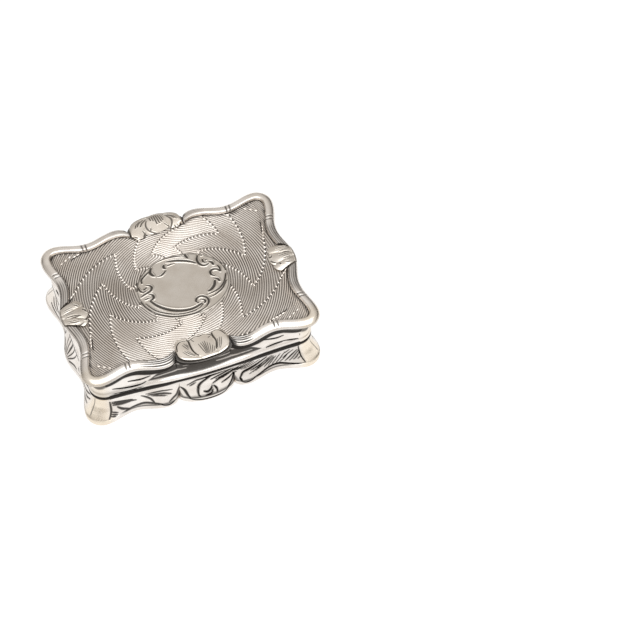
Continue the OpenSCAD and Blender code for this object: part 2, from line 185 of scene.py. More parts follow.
def smoothPath(path):  # a flowing line through points
    p = np.array(path, float)
    if len(p) == 2:
        return p
    p = np.vstack([2 * p[0] - p[1], p, 2 * p[-1] - p[-2]])
    t = np.linspace(0, 1, graver['parts'], endpoint=False)[:, None]
    line = [(2 * b + (c - a) * t + (2 * a - 5 * b + 4 * c - d) * t ** 2
             + (3 * b - a - 3 * c + d) * t ** 3) / 2
            for a, b, c, d in zip(p[:-3], p[1:-2], p[2:-1], p[3:])]
    return np.vstack(line + [p[-2:-1]])


def strokeCut(flat, strokes):  # how deep the graver has cut at each flat point, 0 to 1
    cut = np.zeros(len(flat))
    for width, path in strokes:
        line = smoothPath(path)
        run = np.r_[0, np.cumsum(np.linalg.norm(np.diff(line, axis=0), axis=1))]
        near = np.all((flat > line.min(0) - width) & (flat < line.max(0) + width), axis=1)
        if not near.any():
            continue
        p = flat[near]
        best = np.zeros(len(p))
        for a, b, r0, r1 in zip(line[:-1], line[1:], run[:-1], run[1:]):
            ab = b - a
            t = np.clip((p - a) @ ab / max(ab @ ab, 1e-9), 0, 1)
            share = (r0 + (r1 - r0) * t) / run[-1]
            swell = np.sin(np.pi * (graver['ends'] + (1 - 2 * graver['ends']) * share)) ** graver['full']
            half = width / 2 * (graver['least'] + (1 - graver['least']) * swell)
            gap = np.linalg.norm(p - a - t[:, None] * ab, axis=1)
            best = np.maximum(best, np.clip(1 - gap / half, 0, 1))
        cut[near] = np.maximum(cut[near], best)
    return cut


def bolder(strokes, times):  # the same strokes, wider
    return [(width * times, path) for width, path in strokes]


def bothWays(strokes):  # the strokes and their mirror images
    return [(width, [(side * x, z) for x, z in path]) for side in (1, -1) for width, path in strokes]


def roundBurr(flat, strokes, times, cut):  # a rounded burr beside each cut, 0 to 1
    rise = strokeCut(flat, bolder(strokes, times)).reshape(cut.shape) / graver['burrPeak']
    return np.sin(np.pi * np.clip(rise, 0, 1)) ** 2 * (1 - soft(np.clip(2 * cut, 0, 1)))


# Materials

def srgb(colour):
    parts = [int(colour[k:k + 2], 16) / 255 for k in (1, 3, 5)]
    return [c / 12.92 if c <= 0.04045 else ((c + 0.055) / 1.055) ** 2.4 for c in parts] + [1]


def addNode(tree, kind, inputs={}, **settings):
    made = tree.nodes.new(kind)
    for name, value in settings.items():
        setattr(made, name, value)
    for name, value in inputs.items():
        if isinstance(value, bpy.types.NodeSocket):
            tree.links.new(value, made.inputs[name])
        else:
            made.inputs[name].default_value = value
    return made


def newMaterial(name):
    material = bpy.data.materials.new(name)
    material.use_nodes = True
    tree = material.node_tree
    tree.nodes.clear()
    shader = addNode(tree, 'ShaderNodeBsdfPrincipled')
    addNode(tree, 'ShaderNodeOutputMaterial', {'Surface': shader.outputs['BSDF']})
    return material, tree, shader


metalLook = {'cloudEnds': (0.35, 0.65), 'rubEnds': (0.3, 0.7), 'rubDeepMm': 0.01, 'oxideRough': 0.3}


# Worked metal: clouds of tone, a straw tint, dark oxide and painted shade where the piece says so, and a haze
# of rubbing marks, which are drawn coarser than the real ones so that they show
def workedMetal(name, look):
    material, tree, shader = newMaterial(name)
    coord = addNode(tree, 'ShaderNodeTexCoord').outputs['Object']
    oxideAndShade = addNode(tree, 'ShaderNodeAttribute', attribute_name='oxideAndShade').outputs['Fac']
    straw = addNode(tree, 'ShaderNodeAttribute', attribute_name='straw').outputs['Fac']
    cloud, rub = [addNode(tree, 'ShaderNodeTexNoise', {
        'Vector': coord, 'Scale': 1 / (look[size] * mm), 'Detail': detail}).outputs['Fac']
        for size, detail in (('cloudMm', 3), ('rubMm', 2))]
    body = addNode(tree, 'ShaderNodeValToRGB', {'Fac': cloud})
    for stop, place, tone in zip(body.color_ramp.elements, metalLook['cloudEnds'], ('dull', 'bright')):
        stop.position = place
        stop.color = srgb(look[tone])
    tinted = addNode(tree, 'ShaderNodeMix', {
        0: straw, 6: body.outputs['Color'], 7: srgb(look['straw'])}, data_type='RGBA')
    aged = addNode(tree, 'ShaderNodeMix', {
        0: oxideAndShade, 6: tinted.outputs[2], 7: srgb(look['oxideAndShade'])}, data_type='RGBA')
    (rubLow, rubHigh), (smooth, hazy) = metalLook['rubEnds'], look['roughness']
    haze = addNode(tree, 'ShaderNodeMapRange', {
        'Value': rub, 'From Min': rubLow, 'From Max': rubHigh, 'To Min': smooth, 'To Max': hazy})
    rough = addNode(tree, 'ShaderNodeMath', {
        0: oxideAndShade, 1: metalLook['oxideRough'], 2: haze.outputs['Result']}, operation='MULTIPLY_ADD')
    bump = addNode(tree, 'ShaderNodeBump', {
        'Height': rub, 'Strength': look['bump'], 'Distance': metalLook['rubDeepMm'] * mm})
    tree.links.new(aged.outputs[2], shader.inputs['Base Color'])
    tree.links.new(rough.outputs[0], shader.inputs['Roughness'])
    tree.links.new(bump.outputs['Normal'], shader.inputs['Normal'])
    shader.inputs['Metallic'].default_value = 1
    return material


# Sterling silver, raised, chased and hand polished: bright and faintly warm, with brown-black sulphide left
# in the cuts and a straw tint of young tarnish on quiet places
# The same brown-black also paints shade under the border and shells, along the seam and in the thumb hollow
silver = workedMetal("polishedSilver", {
    'cloudMm': 3, 'rubMm': 0.12, 'dull': '#e0d8d0', 'bright': '#f1ebe5', 'straw': '#ecdcc2',
    'oxideAndShade': '#1d1815', 'roughness': (0.2, 0.3), 'bump': 0.04})
# Sterling silver cut on the rose engine: the same metal, with a softer sulphide in its fine grooves
# Its dark also paints shade sector by sector and shadow beside the beads
turnedSilver = workedMetal("engineTurnedSilver", {
    'cloudMm': 4, 'rubMm': 0.1, 'dull': '#dfd5cb', 'bright': '#f0e8e0', 'straw': '#e6d8c0',
    'oxideAndShade': '#28221e', 'roughness': (0.22, 0.3), 'bump': 0.03})
# Fire-gilt silver: a soft, cloudy butter yellow, a little matt from the mercury
gilt = workedMetal("fireGiltSilver", {
    'cloudMm': 2.5, 'rubMm': 0.15, 'dull': '#d9b25e', 'bright': '#f0d28a', 'straw': '#f3dfae',
    'oxideAndShade': '#5a3f1c', 'roughness': (0.2, 0.32), 'bump': 0.15})
print("metals made")

# Outline of the box in plan, in mm, as it is in the CAD

boxPlan = {'halfLength': 20, 'halfDepth': 14.5, 'lobeRadius': 2.8, 'waveIn': 1.05, 'sideIn': 1.2,
           'crestX': 6.8, 'midHalf': 4.75, 'notchIn': 1.3, 'midOut': 2.05, 'thumbIn': 0.8, 'thumbHalf': 9.5,
           'waist': (18.75, 13.5, 2.6, 0.7), 'borderWide': 1.75, 'borderSpread': 0.7}
lobeX = boxPlan['halfLength'] - boxPlan['lobeRadius']
lobeY = boxPlan['halfDepth'] - boxPlan['lobeRadius']
# Heights in mm
levels = {'foot': 1.1, 'floor': 0.35, 'floorTop': 0.85, 'seam': 6, 'rim': 10.9, 'panel': 11.4, 'crown': 12,
          'top': 12.2}


def arch(t):
    return np.sqrt(np.maximum(0, 1 - t * t))


def longEdge(x):
    b = boxPlan
    notch = b['halfDepth'] - b['notchIn']
    mid = notch + b['midOut'] * arch(x / b['midHalf'])
    crest = notch + b['notchIn'] * arch((b['crestX'] - x) / (b['crestX'] - b['midHalf']))
    turn = 2 * np.pi * (x - b['crestX']) / (lobeX - b['crestX'])
    wave = b['halfDepth'] - b['waveIn'] * (1 - np.cos(turn)) / 2
    return np.where(x < b['midHalf'], mid, np.where(x < b['crestX'], crest, wave))


def shortEdge(y):
    return boxPlan['halfLength'] - boxPlan['sideIn'] * (1 - np.cos(2 * np.pi * y / lobeY)) / 2


# Stations round the box, from the front middle to the right: kind 0 is a long side, 1 a corner and
# 2 a short side
def stationLoop(mid, crest, wave, corner, short):
    b = boxPlan
    part = lambda n: np.arange(n) / n
    kind = np.r_[np.zeros(mid + crest + wave), np.ones(corner), np.full(short + 1, 2)]
    place = np.r_[b['midHalf'] * np.sin(np.pi / 2 * part(mid)),
                  b['crestX'] - (b['crestX'] - b['midHalf']) * np.cos(np.pi / 2 * part(crest)),
                  b['crestX'] + (lobeX - b['crestX']) * part(wave),
                  -np.pi / 2 + np.pi / 2 * part(corner),
                  lobeY * (1 - np.arange(short + 1) / short)]
    there, back = np.arange(len(kind) - 1), np.arange(len(kind) - 1, 0, -1)
    order = np.r_[there, back, there, back, 0]
    n = len(there)
    signX = np.r_[np.ones(2 * n), -np.ones(2 * n), 1]
    signY = np.r_[np.ones(n), -np.ones(2 * n), np.ones(n), 1]
    return {'kind': kind[order], 'place': place[order], 'signX': signX, 'signY': signY}


def lobed(loop):  # the serpentine outline of the border and the foot
    k, p, r = loop['kind'], loop['place'], boxPlan['lobeRadius']
    x = np.where(k == 0, p, np.where(k == 1, lobeX + r * np.cos(p), shortEdge(p)))
    y = np.where(k == 0, -longEdge(p), np.where(k == 1, -lobeY + r * np.sin(p), -p))
    return np.stack([x, y], 1)


def squared(loop, a, b, r, bow):  # the plain outline at the seam, bowed on its long sides
    k, p = loop['kind'], loop['place']
    x = np.where(k == 0, p / lobeX * (a - r), np.where(k == 1, a - r + r * np.cos(p), a))
    y = np.where(k == 0, -b - bow * (1 + np.cos(np.pi * p / lobeX)) / 2,
                 np.where(k == 1, -b + r + r * np.sin(p), -p / lobeY * (b - r)))
    return np.stack([x, y], 1)


def inward(loop):  # the way into the box, one mm long
    k, p = loop['kind'], loop['place']
    return np.stack([np.where(k == 0, 0, np.where(k == 1, -np.cos(p), -1)),
                     np.where(k == 0, 1, np.where(k == 1, -np.sin(p), 0))], 1)


def innerEdge(x):  # the panel's long edge: one width of border inside the lobed edge, past the notches
    b = boxPlan
    near = np.clip((b['crestX'] - x) / (b['crestX'] - b['midHalf']), 0, 1)
    plain = b['halfDepth'] - b['borderSpread'] * near ** 2
    return np.where(x < b['crestX'], plain, longEdge(np.minimum(x, lobeX))) - b['borderWide']


def framed(loop):  # the outline of the panel
    inside = lobed(loop) + inward(loop) * boxPlan['borderWide']
    x = loop['place']
    return np.where((loop['kind'] == 0)[:, None], np.stack([x, -innerEdge(x)], 1), inside)


def frameGap(x, y):  # how far a place on the panel lies inside its outline
    x, y, wide = np.abs(x), np.abs(y), boxPlan['borderWide']
    side = np.minimum(innerEdge(x) - y, shortEdge(np.minimum(y, lobeY)) - wide - x)
    corner = boxPlan['lobeRadius'] - wide - np.hypot(x - lobeX, y - lobeY)
    return np.where((x > lobeX) & (y > lobeY), corner, side)


# Points of a band: rows are share of the lobed outline, inset, height and share of the thumb hollow
def bandPoints(loop, rows, low):
    high = lobed(loop)
    front = (loop['kind'] == 0) & (loop['signY'] > 0)
    thumb = np.where(front, np.maximum(0, 1 - (loop['place'] / boxPlan['thumbHalf']) ** 2), 0)
    inset = rows[None, :, 1] + thumb[:, None] * boxPlan['thumbIn'] * rows[None, :, 3]
    plan = low[:, None] + (high - low)[:, None] * rows[None, :, :1]
    plan = plan + inward(loop)[:, None] * inset[:, :, None]
    z = np.broadcast_to(rows[None, :, 2:3], plan[:, :, :1].shape)
    sign = np.stack([loop['signX'], loop['signY']], 1)[:, None]
    return np.concatenate([plan * sign, z], 2)


def outwardNormals(points):  # of a closed band whose rows run down its outside
    ring = points[:-1]
    along = np.roll(ring, -1, 0) - np.roll(ring, 1, 0)
    down = np.gradient(ring, axis=1)
    normal = np.cross(down, along)
    normal /= np.maximum(np.linalg.norm(normal, axis=2, keepdims=True), 1e-9)
    return np.concatenate([normal, normal[:1]])


# Which stations are on a long side, on the front one, on the back one, and in front with the corners
def sidesOf(loop):
    long = (loop['kind'] == 0)[:, None]
    ahead = (loop['signY'] > 0)[:, None]
    return long, long & ahead, long & ~ahead, ahead & (loop['kind'] != 2)[:, None]


# Flat drawing places of a band's points, side by side: along the side from its middle, and height
def drawingPlaces(loop, points, side):
    kind, signX, signY = loop['kind'], loop['signX'], loop['signY']
    on = {'front': (kind == 0) & (signY > 0), 'back': (kind == 0) & (signY < 0),
          'right': (kind == 2) & (signX > 0), 'left': (kind == 2) & (signX < 0)}[side]
    run = {'front': points[:, :, 0], 'back': -points[:, :, 0],
           'right': points[:, :, 1], 'left': -points[:, :, 1]}[side]
    return on, np.stack([run, points[:, :, 2]], 2)


# Chases strokes into a band and returns the moved points and how dark each is
def chase(loop, points, drawings, depth, burr):
    normal = outwardNormals(points)
    dark = np.zeros(points.shape[:2])
    move = np.zeros(points.shape[:2])
    for side, strokes in drawings.items():
        on, flat = drawingPlaces(loop, points, side)
        area = flat[on].reshape(-1, 2)
        cut = strokeCut(area, strokes)
        lip = strokeCut(area, bolder(strokes, graver['burrWide'])) * (1 - cut)
        move[on] = (burr * soft(lip) - depth * soft(cut)).reshape(move[on].shape)
        dark[on] = np.clip(cut * graver['stain'], 0, 1).reshape(dark[on].shape)
    return points + normal * move[:, :, None], dark


stationCounts = {'mid': 44, 'crest': 22, 'wave': 100, 'corner': 42, 'short': 110}
fineLoop = stationLoop(**stationCounts)
waistLoop, panelLoop = squared(fineLoop, *boxPlan['waist']), framed(fineLoop)
print("stations", len(fineLoop['kind']))

# Side band of the base, flared, with leaf scrolls chased on its long sides

baseSideLook = {
    'rows': [(0, 0.15, 6, 0), (0, 0.03, 5.93, 0), (0, 0, 5.8, 0), (0, 0.05, 5.35, 0), (0.04, 0.42, 4.9, 0),
             (0.22, 0.45, 3.6, 0), (0.58, 0.24, 2.3, 0), (0.9, 0.06, 1.25, 0), (1, 0.07, 1.1, 0)],
    'inner': [(1, 0.86, 1.1, 0), (0.6, 0.96, 2.3, 0), (0, 1.15, 3.6, 0), (0, 1.15, 6, 0)],
    'count': 50, 'depth': 0.1, 'burr': 0.05, 'straw': 0.55, 'bold': 1.9, 'fade': 0.1,
    'seamDark': 0.97, 'seamMiddle': 0.3, 'seamSide': 0.97, 'seamEnds': (5, 9), 'seamCorner': 0.4,
    'seamBack': 0.15, 'seamShort': 0.45, 'seamSoft': 0.12, 'rimBright': 0.07,
    'hollowDark': 0.9, 'hollowLevel': 5.15, 'hollowHalf': 0.22, 'hollowEnds': (12, 8),
    'jointDark': 0.95, 'jointMiddle': 0.5, 'jointHalf': 0.34, 'jointEnds': (15, 13.6), 'jointShort': 0.2,
    'notchDark': 0.6, 'notchHalf': 0.85, 'notchTop': 2.9, 'notchSoft': 0.12,
    'greyDark': 0.14, 'greyEnds': (3, 9),
    'creaseDark': 0.8, 'creaseTurn': -0.45, 'creaseHalf': 0.12, 'creaseCore': 1.3,
    'creaseLow': (1.2, 1.6), 'creaseHigh': (4.9, 4.6)}
baseLongStrokes = [
    (0.26, [(-16.1, 4.3), (-16.1, 2.8), (-16.4, 1.8), (-16.8, 1.15)]),  # edge of the plain corner
    (0.34, [(-15.8, 3.75), (-13.6, 3.25), (-11.8, 2.85)]),
    (0.26, [(-15.7, 3.35), (-14.1, 3.05), (-12.8, 2.9)]),
    (0.26, [(-15.8, 4.1), (-13.9, 3.6), (-12.4, 3.25)]),
    (0.32, [(-15, 2.8), (-14.1, 2), (-13, 1.4)]),
    (0.2, [(-16.1, 2.3), (-15.1, 1.75)]),
    (0.2, [(-16.2, 1.9), (-15.2, 1.4)]),
    (0.2, [(-16.3, 1.55), (-15.5, 1.2)]),
    (0.36, [(-14.6, 1.12), (-13.4, 1.3), (-11.6, 1.6), (-10.4, 1.75), (-8.9, 1.45), (-7.8, 1.15)]),
    (0.3, [(-10.9, 3.55), (-10, 2.95), (-9.4, 2.4), (-8.9, 1.5)]),  # curl
    (0.26, [(-10.1, 3.7), (-7.8, 3.8), (-5.8, 3.55)]),
    (0.3, [(-9.8, 3.35), (-7.5, 3.2), (-6.1, 2.8)]),
    (0.2, [(-9.3, 3.05), (-7.9, 2.85), (-6.8, 2.6)]),
    (0.3, [(-4.6, 3.4), (-5.1, 2.3), (-5.9, 1.8), (-6.6, 1.35)]),  # notch
    (0.34, [(-4.35, 3.4), (-3.8, 2.7), (-3.45, 1.7), (-3.1, 1.15)]),
    (0.34, [(0.95, 4.6), (-0.64, 3.8), (-1.4, 3.2), (-1.7, 2.4), (-1.7, 1.5), (-1.4, 1.15)]),  # scroll
    (0.32, [(-0.8, 2), (-0.15, 1.8), (0.45, 2.15), (0.7, 2.6)]),
    (0.28, [(-0.6, 1.25), (0.3, 1.35), (0.75, 1.9)]),
    (0.28, [(1, 2.5), (1.4, 1.8), (1.3, 1.15)]),
    (0.28, [(0.9, 2.9), (2.2, 3.35), (4, 3.75), (5.4, 4.4)]),  # leaf
    (0.28, [(0.7, 3.7), (2.7, 4.2), (4.7, 4.7)]),
    (0.24, [(-0.2, 4.3), (2, 4.65), (4.4, 4.85)]),
    (0.26, [(-3.3, 3.7), (-1.8, 4.4), (-0.6, 4.5), (1.5, 4.8)]),
    (0.22, [(-2.9, 3.4), (-1.9, 3.9)]),
    (0.24, [(2.4, 2.5), (3.8, 2.8), (5.1, 3.4)]),
    (0.32, [(3.2, 1.15), (3.9, 1.6), (4.4, 2.2), (4.7, 3)]),  # notch
    (0.36, [(5.6, 1.95), (6.2, 2.9), (7.5, 3.2), (8.9, 3.6), (10.4, 4.4)]),
    (0.34, [(5.55, 1.9), (5.8, 1.15)]),
    (0.34, [(7.9, 1.15), (9.4, 1.4), (10.6, 1.7), (11.7, 1.85), (12.7, 1.8), (14.3, 1.4), (16.5, 1.15)]),
    (0.22, [(7.5, 2.7), (9.6, 3.2), (11.3, 4.3)]),
    (0.22, [(8.8, 2.45), (10.3, 3.05), (11.6, 4.1)]),
    (0.2, [(9.9, 2.2), (10.8, 2.85), (11.7, 3.7)]),
    (0.2, [(13.5, 2.15), (14.5, 3), (15.7, 3.95)]),
    (0.17, [(14.9, 2.2), (15.5, 2.7), (16, 3.3)]),
    (0.17, [(13.2, 2.9), (14.1, 3.6), (15, 4.2)]),
    (0.17, [(13.3, 3.8), (14.4, 4.5)]),
    (0.18, [(15.9, 4.7), (16, 3.6), (16.25, 2.4), (16.75, 1.3)]),
    (0.16, [(7.2, 2.2), (8.8, 2.65), (10.2, 3.5)]),  # hatching between the leaf lines
    (0.15, [(8.4, 2.3), (9.8, 2.8), (10.9, 3.7)]),
    (0.15, [(10.6, 2.1), (11.3, 2.8), (12.1, 3.9)]),
    (0.16, [(11.3, 2.1), (12, 2.9), (12.8, 4.1)]),
    (0.16, [(12, 2.1), (12.8, 3), (13.6, 4.2)]),
    (0.15, [(12.6, 2.1), (13.5, 2.9), (14.4, 3.9)]),
    (0.15, [(14.2, 2.1), (15.1, 2.9), (16, 3.8)]),
    (0.12, [(15.6, 2.2), (16.1, 2.6)]),
    (0.16, [(5.3, 3.7), (6.8, 4), (8.2, 4.5)]),
    (0.15, [(5.9, 3.5), (7.6, 3.8), (9.2, 4.4)]),
    (0.16, [(1.4, 3.45), (3.6, 3.95), (6, 4.75)]),
    (0.15, [(1.6, 4), (3.4, 4.35), (5.4, 4.9)]),
    (0.16, [(2.6, 3.2), (4.6, 3.8), (6.8, 4.75)]),
    (0.18, [(4.3, 3.55), (6, 4.1), (8, 4.8)])]
endSpray = [
    (0.28, [(0, 1.25), (0.1, 2.8), (0, 4.5)]),
    (0.28, [(0.35, 1.25), (0.95, 2.7), (1, 4.3)]),
    (0.26, [(0.7, 1.25), (1.8, 2.5), (2.1, 4)]),
    (0.34, [(2.6, 4.4), (3.9, 4.1), (5.1, 3.2), (5.2, 2.2), (4.5, 1.7), (3.8, 2.1), (4, 2.8)]),
    (0.3, [(5.4, 2.2), (6.9, 2.6), (8.6, 3.5), (10.2, 4.4)]),
    (0.26, [(5.6, 1.6), (7.2, 1.9), (9, 2.8), (10.4, 3.7)]),
    (0.3, [(1.2, 1.2), (2.6, 1.6), (3.4, 1.5)]),
    (0.3, [(6.2, 1.2), (8.4, 1.5), (10.6, 2)]),
    (0.24, [(8.4, 2), (9.6, 2.4), (10.8, 3.1)])]
endFiner = 0.6  # the ends are chased with finer strokes
baseEndStrokes = bolder(bothWays(endSpray), endFiner)
strawCorner = {'x': (15.6, 17), 'y': (10.2, 11.8), 'back': 0.3}
fadeReach = -6  # the strokes fade from the middle to here


def cornerStraw(points):  # a straw tint on the plain corners, less at the back
    x, y = points[:, :, 0], points[:, :, 1]
    corner = ramp(np.abs(x), *strawCorner['x']) * ramp(np.abs(y), *strawCorner['y'])
    return corner * np.where(y > 0, strawCorner['back'], 1)


def makeSide(name, look, paintedDark, drawings, body, node):
    outer = smoothRows(look['rows'], look['count'])
    points = bandPoints(fineLoop, outer, waistLoop)
    bold = {side: bolder(strokes, look['bold']) for side, strokes in drawings.items()}
    points, dark = chase(fineLoop, points, bold, look['depth'], look['burr'])
    # the cuts' oxide is painted a little lighter towards the left end: painted light on that side
    faint = 1 - look['fade'] * ramp(points[:, :, 0], 0, fadeReach)
    # with the band's painted shade laid over the cuts
    dark = np.maximum(dark * faint, paintedDark(fineLoop, points, outer))
    inner = bandPoints(fineLoop, np.array(look['inner'], float), waistLoop)
    band = closedBand(name, points, inner, dark, cornerStraw(points) * look['straw'])
    finishPiece(band, body, 'silver', silver, node)


# Painted shade along the seam under the lid, in the undercut below the rim, in the groove above the foot,
# on the notch facets and towards the right of the front, and a dark line that bounds each plain corner
def baseShadeAndCrease(loop, points, rows):
    look = baseSideLook
    z = rows[None, :, 2]
    top, foot = levels['seam'], levels['foot']
    side = np.abs(points[:, :, 0])
    long, front, rear, ahead = sidesOf(loop)
    frontWide = look['seamMiddle'] + (look['seamSide'] - look['seamMiddle']) * ramp(side, *look['seamEnds'])
    otherWide = np.where(ahead, look['seamCorner'], np.where(rear, look['seamBack'], look['seamShort']))
    wide = np.where(front, frontWide, otherWide)
    # painted shadow of the seam gap under the lid, widest on the front beyond its middle
    seam = look['seamDark'] * ramp(z, top - look['seamSoft'] - wide, top - wide)
    seam = seam * np.where(ahead, 1, ramp(z, top, top - look['rimBright']))
    # painted shade in the undercut below the rim, towards the ends of the long sides
    hollow = np.clip(1 - np.abs(z - look['hollowLevel']) / look['hollowHalf'], 0, 1)
    hollow = np.where(long, look['hollowDark'] * hollow * ramp(side, *look['hollowEnds']), 0)
    # painted shade in the groove between the side and the foot, towards the corners
    deep = np.where(side < boxPlan['midHalf'], look['jointMiddle'], look['jointHalf'])
    joint = look['jointDark'] * np.clip(1 - np.abs(z - foot) / deep, 0, 1)
    joint = joint * np.where(long, ramp(side, *look['jointEnds']), look['jointShort'])
    # painted shade on the notch facets
    notch = look['notchHalf'] * ramp(z, look['notchTop'], foot) - np.abs(side - boxPlan['midHalf'])
    notch = np.where(long, look['notchDark'] * ramp(notch, 0, look['notchSoft']), 0)
    # painted shade, darker towards the right of the front
    grey = np.where(front, look['greyDark'] * ramp(points[:, :, 0], *look['greyEnds']), 0)
    away = np.abs(loop['place'] - look['creaseTurn']) * boxPlan['lobeRadius']
    crease = (loop['kind'] == 1) * np.clip(look['creaseCore'] - away / look['creaseHalf'], 0, 1)
    crease = look['creaseDark'] * crease[:, None] * ramp(z, *look['creaseLow']) * ramp(z, *look['creaseHigh'])
    return np.maximum.reduce([seam, hollow, joint, notch, grey, crease])


makeSide("baseSide", baseSideLook, baseShadeAndCrease, {
    'front': baseLongStrokes, 'back': baseLongStrokes, 'left': baseEndStrokes, 'right': baseEndStrokes},
    'base', 'base_side')

# Side band of the lid, hollowed, with the thumb hollow at the front

lidSideLook = {
    'rows': [(1, 0.5, 10.9, 0), (0.85, 0.62, 10.4, 0.4), (0.5, 0.78, 9.4, 1), (0.2, 0.62, 8, 1),
             (0.03, 0.26, 7.15, 0.5), (0, 0.02, 6.8, 0), (0, 0, 6.4, 0), (0, 0.04, 6.27, 0),
             (0, 0.15, 6.2, 0)],
    'inner': [(0, 1.03, 6.2, 0), (0, 1.03, 7.55, 0), (0.2, 1.32, 8.3, 1), (0.5, 1.48, 9.4, 1),
              (0.9, 1.2, 10.9, 0)],
    'count': 60, 'depth': 0.1, 'burr': 0.05, 'straw': 0.4, 'bold': 1.5, 'fade': 0,
    'sightLevel': 11.25, 'sightFall': 1.5, 'coveFront': 0.97, 'coveBack': 0.7, 'coveShort': 0.8,
    'coveWide': 0.65, 'coveWider': 0.8, 'coveEnds': (13.5, 10), 'coveBackWide': 0.25, 'coveShortWide': 0.55,
    'coveSoft': 0.1, 'coveShortSoft': 0.3, 'coveFull': 0.12, 'coveTopFade': 0.75, 'coveTop': (0, 0.35),
    'skirtDark': 0.95, 'skirtTop': 6.34, 'skirtMore': 0.28, 'skirtEnds': (6, 9), 'skirtShort': 6.4,
    'skirtSoft': 0.12, 'roofLevel': 7.4, 'roofSlope': 0.52, 'roofHalf': 9.9, 'roofLift': 1.6,
    'roofMiddle': (5.6, 4.8), 'sillLevel': 6.9, 'sillBow': 0.005, 'hollowHalf': 10, 'hollowDark': 0.89,
    'hollowSoft': 0.15, 'glint': 0.7, 'glintFull': 1.6,
    'greyDark': 0.2, 'greyEnds': (-9, -12), 'greyLevels': (7.6, 7.1)}
lidLongStrokes = [
    (0.3, [(-12.7, 8.2), (-10.7, 8), (-9.1, 8.35)]),
    (0.26, [(-15.4, 7.6), (-13.3, 7.2), (-10.9, 7.15), (-9.9, 7.4)]),
    (0.22, [(-16.8, 7.9), (-16.35, 7), (-16.15, 6.45)]),
    (0.22, [(-15.6, 6.75), (-13, 6.6), (-10.5, 6.75)]),
    (0.3, [(10.3, 8.85), (12.2, 8.45), (13.5, 8.65)]),
    (0.26, [(10.4, 7.3), (12, 7.4), (13.6, 7.45)]),
    (0.24, [(13.7, 7.45), (15.9, 7.1)]),
    (0.22, [(16.2, 8), (16.4, 7.2), (16.3, 6.45)])]
lidEndStrokes = bothWays([
    (0.28, [(4.6, 7.3), (6.8, 7.5), (9, 7.2)]),
    (0.28, [(4.4, 8.3), (6, 8), (7.6, 8.2)])])
thumbGlints = [  # painted highlights: bright streaks across the thumb hollow's painted shade
    (0.24, [(-6, 8.9), (-2, 8.6), (3, 8.55), (6.5, 8.8)]),
    (0.22, [(-3.5, 8.1), (0, 7.95), (4.5, 8)]),
    (0.2, [(-8.5, 7.75), (-6, 7.7), (-3, 7.6)]),
    (0.2, [(2, 7.45), (5, 7.5), (8, 7.7)]),
    (0.18, [(-1.5, 9.25), (2, 9.15), (5, 9.25)])]


# Painted shade in the cove below the border, from the line of sight past the border's edge downwards, along
# the lower edge by the seam, in the thumb hollow crossed by painted highlights, and towards the front-left
# corner
def lidPaintedShade(loop, points, rows):
    look = lidSideLook
    z = rows[None, :, 2]
    side = np.abs(points[:, :, 0])
    out = -np.sum((lobed(loop) - waistLoop) * inward(loop), 1)
    recess = (1 - rows[None, :, 0]) * out[:, None] + rows[None, :, 1]
    long, front, rear, ahead = sidesOf(loop)
    # painted shade in the cove below the border, fading upwards
    wide = np.where(long, look['coveWide'] + look['coveWider'] * ramp(side, *look['coveEnds']),
                    look['coveShortWide'])
    wide = np.where(rear, look['coveBackWide'], wide)
    above = z - look['sightLevel'] + look['sightFall'] * recess + wide
    cove = np.where(rear, look['coveBack'], np.where(long, look['coveFront'], look['coveShort']))
    cove = cove * ramp(above, np.where(long, -look['coveSoft'], -look['coveShortSoft']), look['coveFull'])
    cove = cove * (1 - look['coveTopFade'] * ramp(above - wide, *look['coveTop']))
    # painted shadow along the lower edge by the seam
    edge = look['skirtTop'] + look['skirtMore'] * ramp(side, *look['skirtEnds'])
    skirt = look['skirtDark'] * ramp(np.where(long, edge, look['skirtShort']) - z, 0, look['skirtSoft'])
    # painted shade of the thumb hollow between a roof and a sill, with painted highlight streaks
    roof = look['roofLevel'] + look['roofSlope'] * (look['roofHalf'] - side)
    roof = roof + look['roofLift'] * ramp(side, *look['roofMiddle'])
    sill = look['sillLevel'] + look['sillBow'] * side * side
    flat = np.stack([points[:, :, 0], z + 0 * side], 2).reshape(-1, 2)
    glint = np.clip(look['glintFull'] * strokeCut(flat, thumbGlints).reshape(side.shape), 0, 1)
    lens = ramp(z - sill, 0, look['hollowSoft']) * ramp(roof - z, 0, look['hollowSoft'])
    lens = lens * (side < look['hollowHalf']) * (look['hollowDark'] - look['glint'] * glint)
    # painted shade towards the front-left corner
    grey = ramp(points[:, :, 0], *look['greyEnds']) * ramp(z, *look['greyLevels'])
    grey = np.where(ahead, look['greyDark'] * grey, 0)
    return np.maximum.reduce([cove, skirt, np.where(front, lens, 0), grey])


makeSide("lidSide", lidSideLook, lidPaintedShade, {
    'front': lidLongStrokes, 'back': lidLongStrokes, 'left': lidEndStrokes, 'right': lidEndStrokes},
    'lid', 'lid_side')

# Serpentine border of the lid: a rounded moulding with ties and flutes

